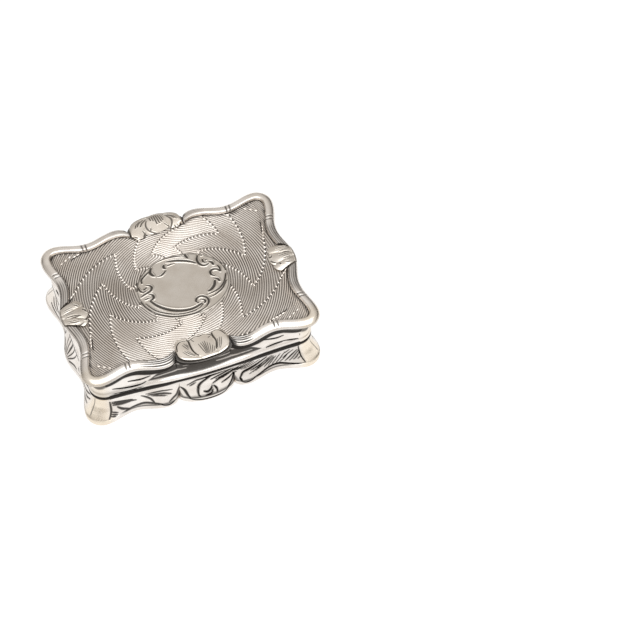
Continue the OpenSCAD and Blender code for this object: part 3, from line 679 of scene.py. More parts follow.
borderLook = {
    'rows': [(0, 0, 10.95, 0), (0, 0, 11.42, 0), (0.02, 0, 11.62, 0), (0.06, 0, 11.82, 0),
             (0.13, 0, 11.95, 0), (0.25, 0, 12, 0), (0.42, 0, 11.97, 0), (0.6, 0, 11.88, 0),
             (0.77, 0, 11.73, 0), (0.9, 0, 11.53, 0), (0.98, 0, 11.3, 0), (1, 0.08, 11.12, 0),
             (1, 0.26, 10.99, 0), (1, 0.5, 10.9, 0)],
    'count': 46, 'straw': 0.4, 'tieLong': 12.4, 'tieShort': 8.3, 'tieGap': 0.31, 'tieHalf': 0.18,
    'tieDepth': 0.1, 'tieLevels': (11.5, 11.65), 'tieReach': (0.8, 0.7), 'tieDark': 0.95,
    'flutes': (0.16, 0.36, 0.56, 0.78), 'fluteHalf': 0.09, 'fluteDepth': 0.09, 'fluteDark': 0.9,
    'fluteLevels': (11.55, 11.65), 'longFlutes': 8.6, 'leftFlutes': 11.8, 'endFlutes': 7.8, 'fluteFade': 1.6,
    'leftFade': 4, 'fluteFront': 1, 'fluteBack': 0.3, 'fluteShort': 0.55,
    'edgeDark': 0.95, 'edgeLevels': (11.58, 11.44), 'edgeShare': 0.12,
    'underDark': 0.97, 'underLevels': (11.32, 11.2), 'underShare': 0.9, 'underFade': 0.7,
    'underEnd': (11.06, 10.96), 'endDark': 0.8, 'endReach': 0.9, 'endSoft': 0.4, 'endShare': (0.45, 0.6),
    'longCut': 4.66, 'endCut': 2.76, 'endFan': 1.2, 'seatSunk': 0.02, 'seatDark': 0.8, 'endSeatDark': 0.5,
    'greyDark': 0.16, 'greyX': (-11, -16), 'greyY': (-9, -12)}


def makeBorder():
    look = borderLook
    rows = smoothRows(look['rows'], look['count'])
    share, level = rows[None, :, 0], rows[None, :, 2]
    points = bandPoints(fineLoop, rows, panelLoop)
    normal = outwardNormals(points)
    kind, front = fineLoop['kind'], fineLoop['signY'] > 0
    left = front & (fineLoop['signX'] < 0)
    middle = np.abs(points[:, look['count'] // 2])
    nowhere = boxPlan['halfLength'] * 5  # corners have no ties, flutes or seats
    run = np.where(kind == 0, middle[:, 0], np.where(kind == 2, middle[:, 1], nowhere))
    tie = np.where(kind == 0, look['tieLong'], look['tieShort'])
    cut = np.zeros(len(run))
    for side in (-1, 1):
        gap = np.abs(run - tie - side * look['tieGap'])
        cut = np.maximum(cut, np.clip(1 - gap / look['tieHalf'], 0, 1))
    cut = cut[:, None] * ramp(level, *look['tieLevels']) * ramp(share, *look['tieReach'])
    last = np.where(left, look['leftFlutes'], look['longFlutes'])
    last = np.where(kind == 0, last, look['endFlutes'])
    strength = np.where(front, look['fluteFront'], look['fluteBack'])
    strength = np.where(kind == 1, 0, np.where(kind == 2, look['fluteShort'], strength))
    fluted = strength * ramp(last - run, 0, np.where(left, look['leftFade'], look['fluteFade']))
    flute = np.zeros(share.shape)
    for place in look['flutes']:
        flute = np.maximum(flute, np.clip(1 - np.abs(share - place) / look['fluteHalf'], 0, 1))
    groove = fluted[:, None] * flute * ramp(level, *look['fluteLevels'])
    points = points + normal * (-look['tieDepth'] * cut - look['fluteDepth'] * groove)[:, :, None]
    edge = look['edgeDark'] * ramp(level, *look['edgeLevels']) * (share < look['edgeShare'])
    # painted shade under the bead's outer edge
    under = look['underDark'] * ramp(level, *look['underLevels']) * (share > look['underShare'])
    under = under * (1 - look['underFade'] * ramp(level, *look['underEnd']))
    # painted shadow on the bead's outer half beside the long shells
    end = ramp(look['longCut'] + look['endReach'] - run, 0, look['endSoft']) * (kind == 0)
    end = look['endDark'] * end[:, None] * ramp(share, *look['endShare'])
    # painted shade that dims the highlight at the front-left corner
    grey = look['greyDark'] * ramp(points[:, :, 0], *look['greyX']) * ramp(points[:, :, 1], *look['greyY'])
    dark = np.maximum.reduce([look['tieDark'] * cut, look['fluteDark'] * np.clip(2 * groove, 0, 1),
                              edge + 0 * cut, under + 0 * cut, end, grey])
    # The border is cut down to the panel where the shells sit, and the cut faces under the shells get painted
    # shade
    long = (kind == 0)[:, None]
    seat = run[:, None] < np.where(long, look['longCut'], look['endCut'] - look['endFan'] * share)
    low = np.minimum(points[:, :, 2], levels['panel'] - look['seatSunk'])
    seatDark = np.where(long, look['seatDark'], look['endSeatDark'])
    dark = np.where(seat & (points[:, :, 2] > low), seatDark, dark)
    points[:, :, 2] = np.where(seat, low, points[:, :, 2])
    border = closedBand("lidBorder", points, points[:, :0], dark, cornerStraw(points) * look['straw'])
    finishPiece(border, 'lid', 'silver', silver, 'lid_border')


makeBorder()

# Foot rim of the base

footLook = {
    'rows': [(1, 0.06, 1.1, 0), (1, 0.02, 1.06, 0), (1, 0, 0.95, 0), (1, -0.02, 0.5, 0), (1, 0, 0.2, 0),
             (1, 0.05, 0.06, 0), (1, 0.15, 0, 0)],
    'inner': [(0.5, 0, 0, 0), (0, 0, 0, 0), (0, 0, 1.1, 0), (0.5, 0, 1.1, 0)],
    'count': 24, 'depth': 0.05, 'burr': 0, 'straw': 0.6,
    'paintedDark': 0.8, 'shadeLevels': (0.9, 1.05), 'shadeEnds': (15, 13.6), 'shadeShort': 0.15}
footStrokes = [
    (0.5, [(-3.3, 1.05), (-2.4, 0.7), (-0.9, 0.52), (0.9, 0.5), (2.4, 0.6), (3.4, 1.05)]),
    (0.5, [(5.75, 1.05), (6.4, 0.78), (7.3, 0.85), (8, 1.08)]),
    (0.5, [(-7.9, 1.08), (-7.4, 0.85), (-6.6, 0.75), (-5.7, 1.05)])]


def makeFoot():
    look = footLook
    outer = smoothRows(look['rows'], look['count'])
    points = bandPoints(fineLoop, outer, panelLoop)
    drawings = {'front': footStrokes, 'back': footStrokes}
    points, dark = chase(fineLoop, points, drawings, look['depth'], look['burr'])
    # painted shade in the joint above the foot, towards the corners of the long sides
    long = ramp(np.abs(points[:, 0, 0]), *look['shadeEnds'])
    shaded = np.where(fineLoop['kind'] == 0, long, look['shadeShort'])
    dark = np.maximum(dark, shaded[:, None] * look['paintedDark'] * ramp(outer[:, 2], *look['shadeLevels'])[None, :])
    inner = bandPoints(fineLoop, np.array(look['inner'], float), panelLoop)
    foot = closedBand("baseBorder", points, inner, dark, cornerStraw(points) * look['straw'])
    finishPiece(foot, 'base', 'silver', silver, 'base_border')


makeFoot()

# Engine-turned plates: rings of fine cuts that step by one line at each swirling boundary

turning = {
    'pitch': 0.358, 'rows': 3, 'depth': 0.075, 'centre': (0, 0.4), 'sectors': 12, 'firstRing': 2.6,
    'lastRing': 22.8, 'outer': 18.4, 'apex': 7.65, 'leg': 4.65, 'lastLeg': 0.6, 'swing': 37.9, 'turn': 17.5,
    'gap': 0.05, 'ends': (0, 0.03, 0.06), 'between': (0.12, 0.88, 10), 'slope': 0.4, 'hook': 7,
    'hookTurn': 2.5,
    'lines': (1, 0.75, 0.5, 0.8, 1, 0.75, 1, 0.75, 0.5, 0.8, 1, 0.75), 'lineDark': 0.95,
    'dull': (0, 0.05, 0.1, 0.05, 0, 0.18, 0.06, 0.05, 0.1, 0.03, 0, 0.15), 'edgeDark': 0.9, 'edgeWide': 0.04,
    'rimDark': 0.9, 'rimGap': (0.2, 0.08), 'sunk': 0.25, 'sunkGap': 0.25, 'smooth': 20}
beadLook = {
    'segments': 8, 'rings': 6, 'size': (0.37, 0.16, 0.12), 'along': 0.17, 'aside': 0.15, 'lean': 38,
    'tilt': 12, 'footDark': 0.9, 'footTop': 0.3, 'ovalGap': 0.1, 'rimGap': 0.3, 'cornerWay': -0.6,
    'corner': ((16.7, 10.7), (15.9, 11.15), (15.1, 11.6))}
cartoucheLook = {
    'centre': (0.75, 0.05), 'half': (7.8, 6.35), 'around': 720, 'plain': 0.45, 'plainRings': 9, 'rings': 95,
    'rise': 0.07, 'depth': 0.08, 'burr': 0.07, 'bold': 1.2, 'burrWide': 2.2, 'roll': 0.035, 'sunk': 0.02,
    'thick': 0.2, 'cutDark': 0.9, 'stain': 2.5, 'fieldDark': 0.24, 'straw': 0.22, 'lineDark': 0.75,
    'lineShare': 0.965, 'lineHalf': 0.016, 'lineCore': 1.3, 'rimDark': 0.8, 'rimShare': 0.995}


def inCartouche(x, y, margin):
    (cx, cy), (a, b) = cartoucheLook['centre'], cartoucheLook['half']
    return ((x - cx) / (a + margin)) ** 2 + ((y - cy) / (b + margin)) ** 2 < 1


def swirl(r):  # the angle of a boundary at a radius: a zigzag that goes on more gently at the outside
    wave = np.abs((r - turning['apex']) / turning['leg'])
    fold = np.where(wave > 1, 2 - wave, wave)
    return turning['turn'] - turning['swing'] * np.where(wave > 2, turning['lastLeg'] * fold, fold)


def hooked(s):  # the way of a cut across a sector: a slight slope that hooks outwards at its end
    return turning['slope'] * s + (1 - turning['slope']) * s ** turning['hook']


def nearHook(r):  # 1 where the cuts hook at the near end of their sector, 0 where they do at the far end
    wave = np.sin(np.pi * (r - turning['apex']) / turning['leg'])
    return 0.5 - 0.5 * np.clip(turning['hookTurn'] * wave, -1, 1)


def turnedPlate(name, top, bottom, up):
    t = turning
    line = np.arange(int((t['lastRing'] - t['firstRing']) / t['pitch']) * t['rows'] + 1)
    radius = t['firstRing'] + line * t['pitch'] / t['rows']
    low = line % t['rows'] == t['rows'] - 1
    sector = 360 / t['sectors']
    ends = np.array(t['ends'])
    along = np.r_[ends, np.linspace(*t['between']), 1 - ends[::-1]]
    each = np.r_[np.repeat(np.arange(t['sectors']), len(along)), 0]
    start = np.r_[each[:-1] * sector, 360][:, None]
    along = np.r_[np.tile(along, t['sectors']), 0][:, None]
    near = nearHook(radius)
    reach = radius + t['pitch'] * ((1 - near) * hooked(along) + near * hooked(1 - along))
    angle = np.radians(start + along * (sector - np.degrees(t['gap'] / radius)) + swirl(reach))
    x, y = t['centre'][0] + reach * np.cos(angle), t['centre'][1] + reach * np.sin(angle)
    z = top - up * t['depth'] * low + 0 * reach
    z -= np.where((up > 0) & inCartouche(x, y, -t['sunkGap']), t['sunk'], 0)  # room for the cartouche
    # per sector: real oxide in the cuts, with its strength and a darker tone set as painted sheen and shade
    lines, dull = (np.array(t[kind])[each][:, None] for kind in ('lines', 'dull'))
    # painted shadow on the cut ends beside the beads
    edge = (radius < t['outer']) * np.where(near < 0.5, along < t['edgeWide'], along > 1 - t['edgeWide'])
    dark = np.maximum.reduce([t['lineDark'] * lines * low, dull + 0 * reach, t['edgeDark'] * edge])
    hub = np.broadcast_to([*t['centre'], top - (t['sunk'] if up > 0 else 0)], (len(each), 1, 3))
    points = np.concatenate([hub, np.stack([x, y, z], 2)], 1)
    dark = np.concatenate([np.zeros((len(each), 1)), dark], 1)
    rim = ramp(frameGap(points[:, :, 0], points[:, :, 1]), *t['rimGap'])
    dark = np.maximum(dark, t['rimDark'] * rim)
    plate = newSheet(name, points.shape[0] - 1, points.shape[1] - 1)
    shapeSheet(plate, points, {'oxideAndShade': dark})
    activate(plate)
    bpy.ops.object.mode_set(mode='EDIT')
    bpy.ops.mesh.select_mode(type='VERT')
    bpy.ops.mesh.select_all(action='SELECT')
    bpy.ops.mesh.remove_doubles(threshold=1e-6)
    for way, half in (((1, 0, 0), 'halfLength'), ((-1, 0, 0), 'halfLength'),
                      ((0, 1, 0), 'halfDepth'), ((0, -1, 0), 'halfDepth')):  # trimmed to a rectangle
        place = [c * (boxPlan[half] - boxPlan['borderWide']) * mm for c in way]
        bpy.ops.mesh.select_all(action='SELECT')
        bpy.ops.mesh.bisect(plane_co=place, plane_no=way, clear_outer=True, threshold=1e-7)
    bpy.ops.mesh.select_all(action='SELECT')
    bpy.ops.mesh.normals_make_consistent(inside=False)
    closeUnder(plate, lambda co: (co.x, co.y, bottom * mm), 0)
    bpy.ops.object.shade_smooth_by_angle(angle=math.radians(t['smooth']))
    return plate


def joinPieces(name, parts):  # one piece of many, unturned and unscaled
    deselectAll()
    for part in parts:
        part.data = part.data.copy()
        part.data.transform(part.matrix_world)
        part.matrix_world = Matrix.Identity(4)
        part.select_set(True)
    bpy.context.view_layer.objects.active = parts[0]
    bpy.ops.object.join()
    piece = bpy.context.object
    nameBoth(piece, name)
    bpy.ops.object.shade_smooth()
    return piece


# Bright beads that stand at the hooks of the cuts, and a few in each corner
def turnedBeads(name, top):
    t, look = turning, beadLook
    deselectAll()
    bpy.ops.mesh.primitive_uv_sphere_add(segments=look['segments'], ring_count=look['rings'], radius=1)
    bead = bpy.context.object
    nameBoth(bead, name)
    # painted shadow round the foot of each bead
    dark = [look['footDark'] if v.co.z < look['footTop'] else 0.0 for v in bead.data.vertices]
    bead.data.attributes.new('oxideAndShade', 'FLOAT', 'POINT').data.foreach_set("value", dark)
    places = [(signX * x, signY * y, math.atan2(look['cornerWay'] * signY, signX))
              for signX in (-1, 1) for signY in (-1, 1) for x, y in look['corner']]
    for k in range(t['sectors']):
        for m in range(int((t['outer'] - t['firstRing']) / t['pitch'])):
            r = t['firstRing'] + (m + look['along']) * t['pitch']
            way = 1 if nearHook(r) > 0.5 else -1
            angle = math.radians(k * 360 / t['sectors'] + float(swirl(np.array(r)))) + way * look['aside'] / r
            x, y = t['centre'][0] + r * math.cos(angle), t['centre'][1] + r * math.sin(angle)
            if not inCartouche(x, y, look['ovalGap']) and frameGap(x, y) > look['rimGap']:
                places.append((x, y, angle + math.pi / 2 + way * math.radians(look['lean'])))
    tilt = Matrix.Rotation(math.radians(look['tilt']), 4, 'X')
    size = Matrix.Diagonal((*[c * mm for c in look['size']], 1))
    beads = []
    for x, y, turn in places:
        copy = bead.copy()
        bpy.context.scene.collection.objects.link(copy)
        place = Matrix.Translation((x * mm, y * mm, top * mm))
        copy.matrix_world = place @ tilt @ Matrix.Rotation(turn, 4, 'Z') @ size
        beads.append(copy)
    bpy.data.objects.remove(bead)
    bpy.context.view_layer.update()
    return joinPieces(name, beads)


lidPanel = turnedPlate("lidPanel", levels['panel'], levels['rim'], 1)
finishPiece(lidPanel, 'lid', 'silver_turned', turnedSilver, 'lid_panel')
lidBeads = turnedBeads("lidTurningBeads", levels['panel'])
finishPiece(lidBeads, 'lid', 'silver_turned', turnedSilver)
baseFloor = turnedPlate("baseFloor", levels['floor'], levels['floorTop'], -1)
finishPiece(baseFloor, 'base', 'silver_turned', turnedSilver, 'base_floor')

# Oval cartouche: a plain polished field in a frame of engraved scrolls

cartoucheStrokes = [
    (0.34, [(-6.75, -0.9), (-6.3, -2.2), (-5.2, -3.8), (-3.5, -5), (-2, -5.6), (0, -5.9), (1.5, -5.8),
            (3, -5.3)]),
    (0.55, [(-5.2, -1.3), (-4.5, -2.4), (-3.5, -3.4), (-2.3, -4.2), (-1, -4.7), (0.3, -4.9), (1.3, -4.8),
            (2.5, -4.4)]),
    (0.26, [(-6.1, -1.6), (-5, -3.3), (-3.4, -4.5), (-1.6, -5.25), (0.2, -5.45), (1.8, -5.2), (2.7, -4.6)]),
    (0.34, [(2, -4.15), (1.75, -3.7), (2.1, -3.15), (2.8, -3), (3.45, -3.35), (3.75, -3.95), (3.6, -4.6),
            (3.1, -5.2)]),
    (0.28, [(2.6, -3.75), (3.05, -3.8), (3.2, -4.15), (2.95, -4.55)]),
    (0.36, [(-4.95, 1.95), (-4.45, 1.75), (-4.2, 1.3), (-4.5, 0.8), (-5.1, 0.5), (-5.8, 0.25),
            (-6.4, -0.05)]),
    (0.3, [(-6.3, 1.9), (-6.25, 1.3), (-5.9, 0.85), (-5.3, 0.85)]),
    (0.26, [(-5.6, 1.15), (-5.1, 1.5)]),
    (0.36, [(-4.95, 0.05), (-4.5, -0.25), (-4.55, -0.85), (-5.15, -1.2)]),
    (0.26, [(-6, -0.8), (-5.5, -0.65), (-5.15, -0.7)]),
    (0.3, [(-6.7, 1.2), (-6.4, 2.5), (-5.6, 4), (-4.4, 5.1), (-3.2, 5.7), (-1.6, 6.05), (0.2, 6.1),
           (2, 5.8), (2.8, 5.4)]),
    (0.28, [(-6.15, 2.9), (-5.4, 3.95), (-4.4, 4.75), (-3.2, 5.25)]),
    (0.28, [(-5.5, 2.5), (-5.4, 3.2), (-4.6, 3.9), (-3.5, 4.55)]),
    (0.46, [(-3.2, 5), (-3.6, 4.3), (-3.45, 3.7), (-3.15, 3.3)]),
    (0.3, [(-2.7, 3.05), (-2.1, 3.05), (-1.5, 3.4), (-1.1, 3.75)]),
    (0.4, [(-1.05, 4.95), (-1.2, 4.55), (-1.05, 4.15)]),
    (0.44, [(-0.5, 5.4), (1, 5.2), (2.5, 4.65), (3.5, 4.05), (4, 3.6)]),
    (0.26, [(-0.7, 4.55), (0, 4.7), (0.6, 4.65)]),
    (0.4, [(2.8, 6), (2.9, 5.5), (3.05, 5)]),
    (0.38, [(4.75, 5), (4.4, 4.3), (4.45, 3.5), (4.85, 2.9), (5.4, 2.7), (5.95, 2.85)]),
    (0.28, [(5.25, 4.05), (5.25, 3.5), (5.6, 3.2)]),
    (0.3, [(5.7, 3.75), (5.85, 3.65)]),
    (0.28, [(5.2, 4.75), (5.9, 4.8), (6.7, 4.3), (7.5, 3.2), (8.1, 1.9), (8.25, 0.6)]),
    (0.4, [(6.2, 3.25), (6.55, 2.9), (6.65, 2.35)]),
    (0.28, [(7.2, 2.1), (7.4, 1.5), (7.3, 0.7)]),
    (0.36, [(7.3, 0.7), (6.95, 1.3), (6.25, 1.5), (5.75, 1.2), (5.7, 0.6), (6.15, 0.15)]),
    (0.36, [(6, -0.3), (6.45, -0.6), (6.6, -1.15)]),
    (0.5, [(5.9, -0.75), (5.6, -1.5), (5, -2.1), (4.3, -2.45)]),
    (0.28, [(8, 0), (7.3, -1.4), (6.2, -2.4), (5, -2.85), (3.9, -3.1)]),
    (0.26, [(7.7, -1.3), (6.6, -2.6), (5.2, -3.4), (4.1, -3.7)])]


def makeCartouche():
    look = cartoucheLook
    theta = np.linspace(0, 2 * np.pi, look['around'] + 1)
    inside = np.linspace(0, look['plain'], look['plainRings'])
    share = np.r_[inside, np.linspace(look['plain'], 1, look['rings'])[1:]]
    x = look['centre'][0] + look['half'][0] * np.cos(theta)[:, None] * share
    y = look['centre'][1] + look['half'][1] * np.sin(theta)[:, None] * share
    flat = np.stack([x, y], 2).reshape(-1, 2)
    bold = bolder(cartoucheStrokes, look['bold'])
    cut = strokeCut(flat, bold).reshape(x.shape)
    burr = look['burr'] * roundBurr(flat, bold, look['burrWide'], cut)
    roll = np.clip((1 - share) / look['roll'], 0, 1)[None, :]
    rise = (look['rise'] + burr) * np.sqrt(roll) - look['depth'] * soft(cut) * roll
    top = np.stack([x, y, levels['panel'] - look['sunk'] + rise], 2)
    line = np.clip(look['lineCore'] - np.abs(share - look['lineShare']) / look['lineHalf'], 0, 1)
    rim = look['rimDark'] * (share > look['rimShare'])
    plain = np.maximum.reduce([look['lineDark'] * line, rim, look['fieldDark'] + 0 * share])
    dark = np.maximum(look['cutDark'] * np.clip(cut * look['stain'], 0, 1), plain[None, :])
    low = top[:, -1:].copy()
    low[:, :, 2] = levels['panel'] - look['thick']
    hub = np.broadcast_to([*look['centre'], levels['panel'] - look['thick']], low.shape)
    marks = np.concatenate([dark, np.zeros((len(theta), 2))], 1)
    oval = closedSheet("lidCartouche", np.concatenate([top, low, hub], 1),
                       {'oxideAndShade': marks, 'straw': look['straw'] + 0 * marks})
    finishPiece(oval, 'lid', 'silver', silver)


makeCartouche()

# Shells on the border: a fan of three petals that opens inwards from its lip, each with strokes of its own

shellLook = {
    'cols': 168, 'rows': 100, 'petalCut': 0.5, 'dome': 0.8, 'split': (0.18, 0.29, 0.7), 'finish': 0.95,
    'full': 0.9, 'under': 0.9, 'depth': 0.09, 'hatchDepth': 0.4, 'burr': 0.03, 'burrWide': 2.4,
    'lipRise': 0.05, 'lipWide': 0.05, 'fine': 0.21, 'fineDark': 0.85, 'stain': 2.2, 'fineStain': 1.8,
    'shadeReach': 0.35, 'straw': 0.25}
longShell = {'half': 4.4, 'fan': 0.96, 'bow': 15.1, 'square': 0.45, 'frontTip': 10.4, 'backTip': 11.4,
             'backTilt': 0.3, 'curve': 0.4, 'cornerCut': 0.7, 'cornerPower': 8}
endShell = {'half': 2.7, 'fan': 0.96, 'ledge': 0.15, 'reach': 15.4, 'lipShare': 0.55, 'curve': 0.9}
frontStrokes = [
    # Between the petals
    (0.3, [(-2.2, -10.4), (-1.9, -11.2), (-1.9, -12), (-1.8, -13), (-1.5, -13.8), (-1.1, -14.3)]),
    (0.3, [(2.3, -10.2), (2.1, -10.8), (2.15, -11.5), (2.3, -12.3), (2.2, -13.1), (1.95, -14)]),
    (0.26, [(-2, -10.9), (-1.5, -10.85), (-0.9, -10.6)]),  # upper rim of the middle petal
    (0.24, [(-0.9, -10.6), (-0.3, -10.55), (0, -10.7), (0.5, -10.55), (1.2, -10.6)]),
    (0.26, [(1.2, -10.6), (1.7, -10.85), (2, -11.2)]),
    # Rims of the side petals
    (0.24, [(-4.2, -12.6), (-4, -11.6), (-3.4, -10.95), (-2.7, -10.8), (-2.3, -11.1)]),
    (0.24, [(2.4, -10.5), (2.9, -10.35), (3.6, -10.75), (4.1, -11.8)]),
    (0.2, [(-1.4, -11), (-1.1, -11.5)]),
    (0.2, [(1.3, -11.5), (1.75, -11.15)]),
    (0.2, [(-0.6, -12.2), (-0.3, -13.3), (0.05, -14.4)]),  # fan of the middle petal
    (0.2, [(-0.2, -12.1), (0.05, -13.2), (0.2, -14.5)]),
    (0.2, [(0.15, -12), (0.28, -13.2), (0.35, -14.5)]),
    (0.2, [(0.5, -11.9), (0.5, -13.2), (0.5, -14.5)]),
    (0.18, [(0.85, -12.3), (0.75, -13.4), (0.65, -14.5)]),
    (0.18, [(1.2, -12.6), (1.05, -13.6), (0.85, -14.5)]),
    (0.18, [(1.55, -13.1), (1.3, -13.9), (1.1, -14.5)]),
    (0.16, [(1.85, -13.4), (1.6, -14), (1.35, -14.4)]),
    (0.2, [(-3.1, -11.6), (-2.75, -12.2), (-2.4, -12.8)]),  # left petal
    (0.2, [(-2.75, -11.4), (-2.45, -12), (-2.2, -12.6)]),
    (0.18, [(-2.4, -11.6), (-2.15, -12.2)]),
    (0.22, [(-3.1, -12.9), (-2.4, -13.7), (-1.7, -14.2)]),
    (0.2, [(-2.7, -13), (-2.1, -13.7), (-1.6, -14.1)]),
    (0.18, [(-3.4, -13), (-2.8, -13.8), (-2.2, -14.2)]),
    (0.2, [(2.65, -12.2), (2.45, -13), (2.15, -13.8)]),  # right petal
    (0.2, [(3, -12), (2.75, -13.1), (2.3, -14)]),
    (0.18, [(3.3, -12.1), (3, -13.2), (2.5, -14.1)])]
backStrokes = [
    # Between the petals
    (0.34, [(1.2, -14.2), (1.55, -13.4), (1.5, -12.6), (1.15, -12), (0.5, -11.5), (-0.2, -11.2)]),
    (0.38, [(-2.2, -14.2), (-2.75, -13.4), (-2.8, -12.8), (-2.5, -12.1), (-2.1, -11.5)]),
    (0.24, [(-1.5, -12.9), (-1.9, -12.3), (-2.2, -11.9)]),
    (0.24, [(0.9, -12.5), (1.05, -12)]),
    (0.34, [(2.3, -12.4), (2.1, -11.8), (2.5, -11.2)]),
    (0.3, [(4, -11.7), (3.7, -11.5), (3.5, -11.3)]),
    (0.24, [(-3, -11.9), (-3.1, -11.6), (-2.9, -11.4)]),
    (0.24, [(-3.5, -11.9), (-3.6, -11.6), (-3.4, -11.4)]),
    (0.22, [(0.6, -14.7), (0.55, -14.3), (0.5, -13.8)]),  # fan of the middle petal
    (0.22, [(0.2, -14.8), (0.15, -14.2), (0.1, -13.6)]),
    (0.3, [(-0.15, -14.8), (-0.25, -14), (-0.35, -12.9)]),
    (0.3, [(-0.5, -14.8), (-0.65, -14), (-0.8, -13)]),
    (0.28, [(-0.85, -14.7), (-1.05, -14), (-1.2, -13.2)]),
    (0.24, [(-1.2, -14.6), (-1.4, -14), (-1.5, -13.4)]),
    (0.28, [(1, -14.6), (1.9, -14), (2.5, -13.2)]),  # side petals
    (0.26, [(1.6, -14.6), (2.5, -14), (3, -13.3)]),
    (0.22, [(2.2, -14.4), (3, -13.8), (3.4, -13.1)]),
    (0.34, [(-1.8, -14.6), (-2.8, -14), (-3.4, -13.2)]),
    (0.22, [(-2.4, -14.4), (-3.3, -13.7), (-3.8, -12.9)])]
leftStrokes = [
    (0.18, [(-1, -19.2), (-1.15, -18.4), (-1.3, -17.6)]),
    (0.18, [(-0.7, -19.2), (-0.85, -18.3), (-0.95, -17.5)]),
    (0.18, [(-0.4, -19.2), (-0.45, -18.2), (-0.6, -17.3)]),
    (0.18, [(-0.1, -19.1), (-0.1, -18.2), (-0.15, -17.4)]),
    (0.24, [(0.35, -19.1), (0.4, -18), (0.5, -16.8)]),
    (0.24, [(0.7, -19), (0.7, -17.9), (0.6, -16.6)]),
    (0.22, [(1.2, -19), (1.35, -18.2), (1.4, -17.4)]),
    (0.26, [(1.5, -18.9), (1.7, -18), (1.7, -17.2)]),
    (0.24, [(2.2, -18.2), (2.35, -17.4), (2.1, -16.7)]),
    (0.34, [(0, -15.6), (-0.5, -15.8), (-0.4, -16.1)]),
    (0.3, [(1.3, -16.5), (1.5, -16.1), (1.2, -15.8)]),
    (0.34, [(-1.3, -16.6), (-1.6, -16.9), (-1.8, -17.3)])]
rightStrokes = [
    (0.2, [(1.1, -19), (1.1, -18.2), (1, -17.4)]),
    (0.3, [(0.55, -19.1), (0.6, -18.2), (0.5, -17.2)]),
    (0.2, [(0.2, -19), (0.15, -18), (0.1, -17.2)]),
    (0.2, [(-0.1, -19), (-0.15, -18.2), (-0.2, -17.6)]),
    (0.2, [(-0.4, -19), (-0.5, -18.3), (-0.6, -17.7)]),
    (0.22, [(-0.8, -19), (-0.95, -18.4), (-1, -17.9)]),
    (0.24, [(1.6, -18.9), (1.7, -18), (1.6, -17)]),
    (0.24, [(-1.5, -18.8), (-1.5, -18.2), (-1.3, -17.7)]),
    (0.34, [(0.7, -15.6), (0.4, -15.8), (0.7, -16.1)]),
    (0.3, [(-0.2, -15.6), (-0.6, -15.9), (-0.9, -16.3)]),
    (0.3, [(-1, -16.4), (-1.2, -16.8), (-1.6, -17)])]


def longLip(u):
    s = longShell
    bow = np.cos(np.pi / 2 * u).clip(0) ** s['square']
    return s['half'] * np.sin(np.pi / 2 * u), -lobeY - (s['bow'] - lobeY) * bow


def longTip(tip, tilt):
    s = longShell
    return lambda u: (s['fan'] * s['half'] * u,
                      tilt * u - tip + s['curve'] * u * u - s['cornerCut'] * u ** s['cornerPower'])


def endLip(u):
    x = endShell['lipShare'] * endShell['half'] * u
    return x, endShell['ledge'] - shortEdge(np.abs(x))


def endTip(u):
    return endShell['fan'] * endShell['half'] * u, -endShell['reach'] - endShell['curve'] * u * u


def makeShell(name, own):
    look = {**shellLook, **own}
    t = np.linspace(-1, 1, look['cols'] + 1)[:, None]
    v = np.linspace(0, 1, look['rows'] + 1)[None, :]
    out = np.abs(t)  # the middle petal ends at half of the way out
    petal = np.clip(np.where(out < 0.5, np.cos(np.pi * t), np.sin(2 * np.pi * (out - 0.5))), 0, 1)
    swell, dome = np.sqrt(petal), petal ** look['dome']
    least, more, bend = look['split']
    split = least + more * v ** bend
    u = np.sign(t) * np.where(out < 0.5, 2 * out * split, split + (2 * out - 1) * (1 - split))
    u = u + look['skew'] * (1 - v) ** 2 * (1 - u * u)
    (lipX, lipY), (tipX, tipY) = look['lip'](u), look['tip'](u)
    x = lipX * (1 - v) + tipX * v
    y = lipY * (1 - v) + (tipY - look['petalCut'] * (1 - swell)) * v
    rise = levels['top'] - levels['panel'] - look['foot'] - look['lipRise'] - look['burr']
    rounded = np.sin(np.pi * (look['start'] + (look['finish'] - look['start']) * v ** look['full']))
    height = look['foot'] + rise * rounded * (1 - look['groove'] * (1 - dome))
    height = height + look['lipRise'] * np.clip(1 - np.abs(v - look['lipWide']) / look['lipWide'], 0, 1)
    flat = np.stack([x, y], 2).reshape(-1, 2)
    bold = [(width, path) for width, path in look['strokes'] if width > look['fine']]
    fine = [(width, path) for width, path in look['strokes'] if width <= look['fine']]
    cut, hatch = (strokeCut(flat, some).reshape(x.shape) for some in (bold, fine))
    burr = look['burr'] * roundBurr(flat, bold, look['burrWide'], cut)
    depth = look['depth'] * (soft(cut) + look['hatchDepth'] * soft(hatch))
    # painted shade along the lip of the back and end shells, and the end shells evenly darker
    shade = np.maximum(look['shade'] * ramp(v, look['shadeReach'], 0), look['dull'])
    dark = np.maximum.reduce([look['black'] * np.clip(cut * look['stain'], 0, 1),
                              look['fineDark'] * np.clip(hatch * look['fineStain'], 0, 1), shade + 0 * x])
    shell = newSheet(name, look['cols'], look['rows'])
    shapeSheet(shell, np.stack([x, y, levels['panel'] + height + burr - depth], 2),
               {'oxideAndShade': dark, 'straw': look['straw'] + 0 * dark})
    middle = np.array(0.0)
    hub = (look['tip'](middle)[1] + look['lip'](middle)[1]) / 2 * mm
    under, low = look['under'], levels['panel'] * mm
    # the wall under the shell's edge is painted dark as shadow under the shell
    closeUnder(shell, lambda co: (under * co.x, hub + under * (co.y - hub), low), look['edge'])
    shell.data.transform(Matrix.Rotation(math.radians(look['turn']), 4, 'Z'))
    bpy.ops.object.shade_smooth_by_angle(angle=math.radians(smoothAngle))
    finishPiece(shell, 'lid', 'silver', silver, look['node'])


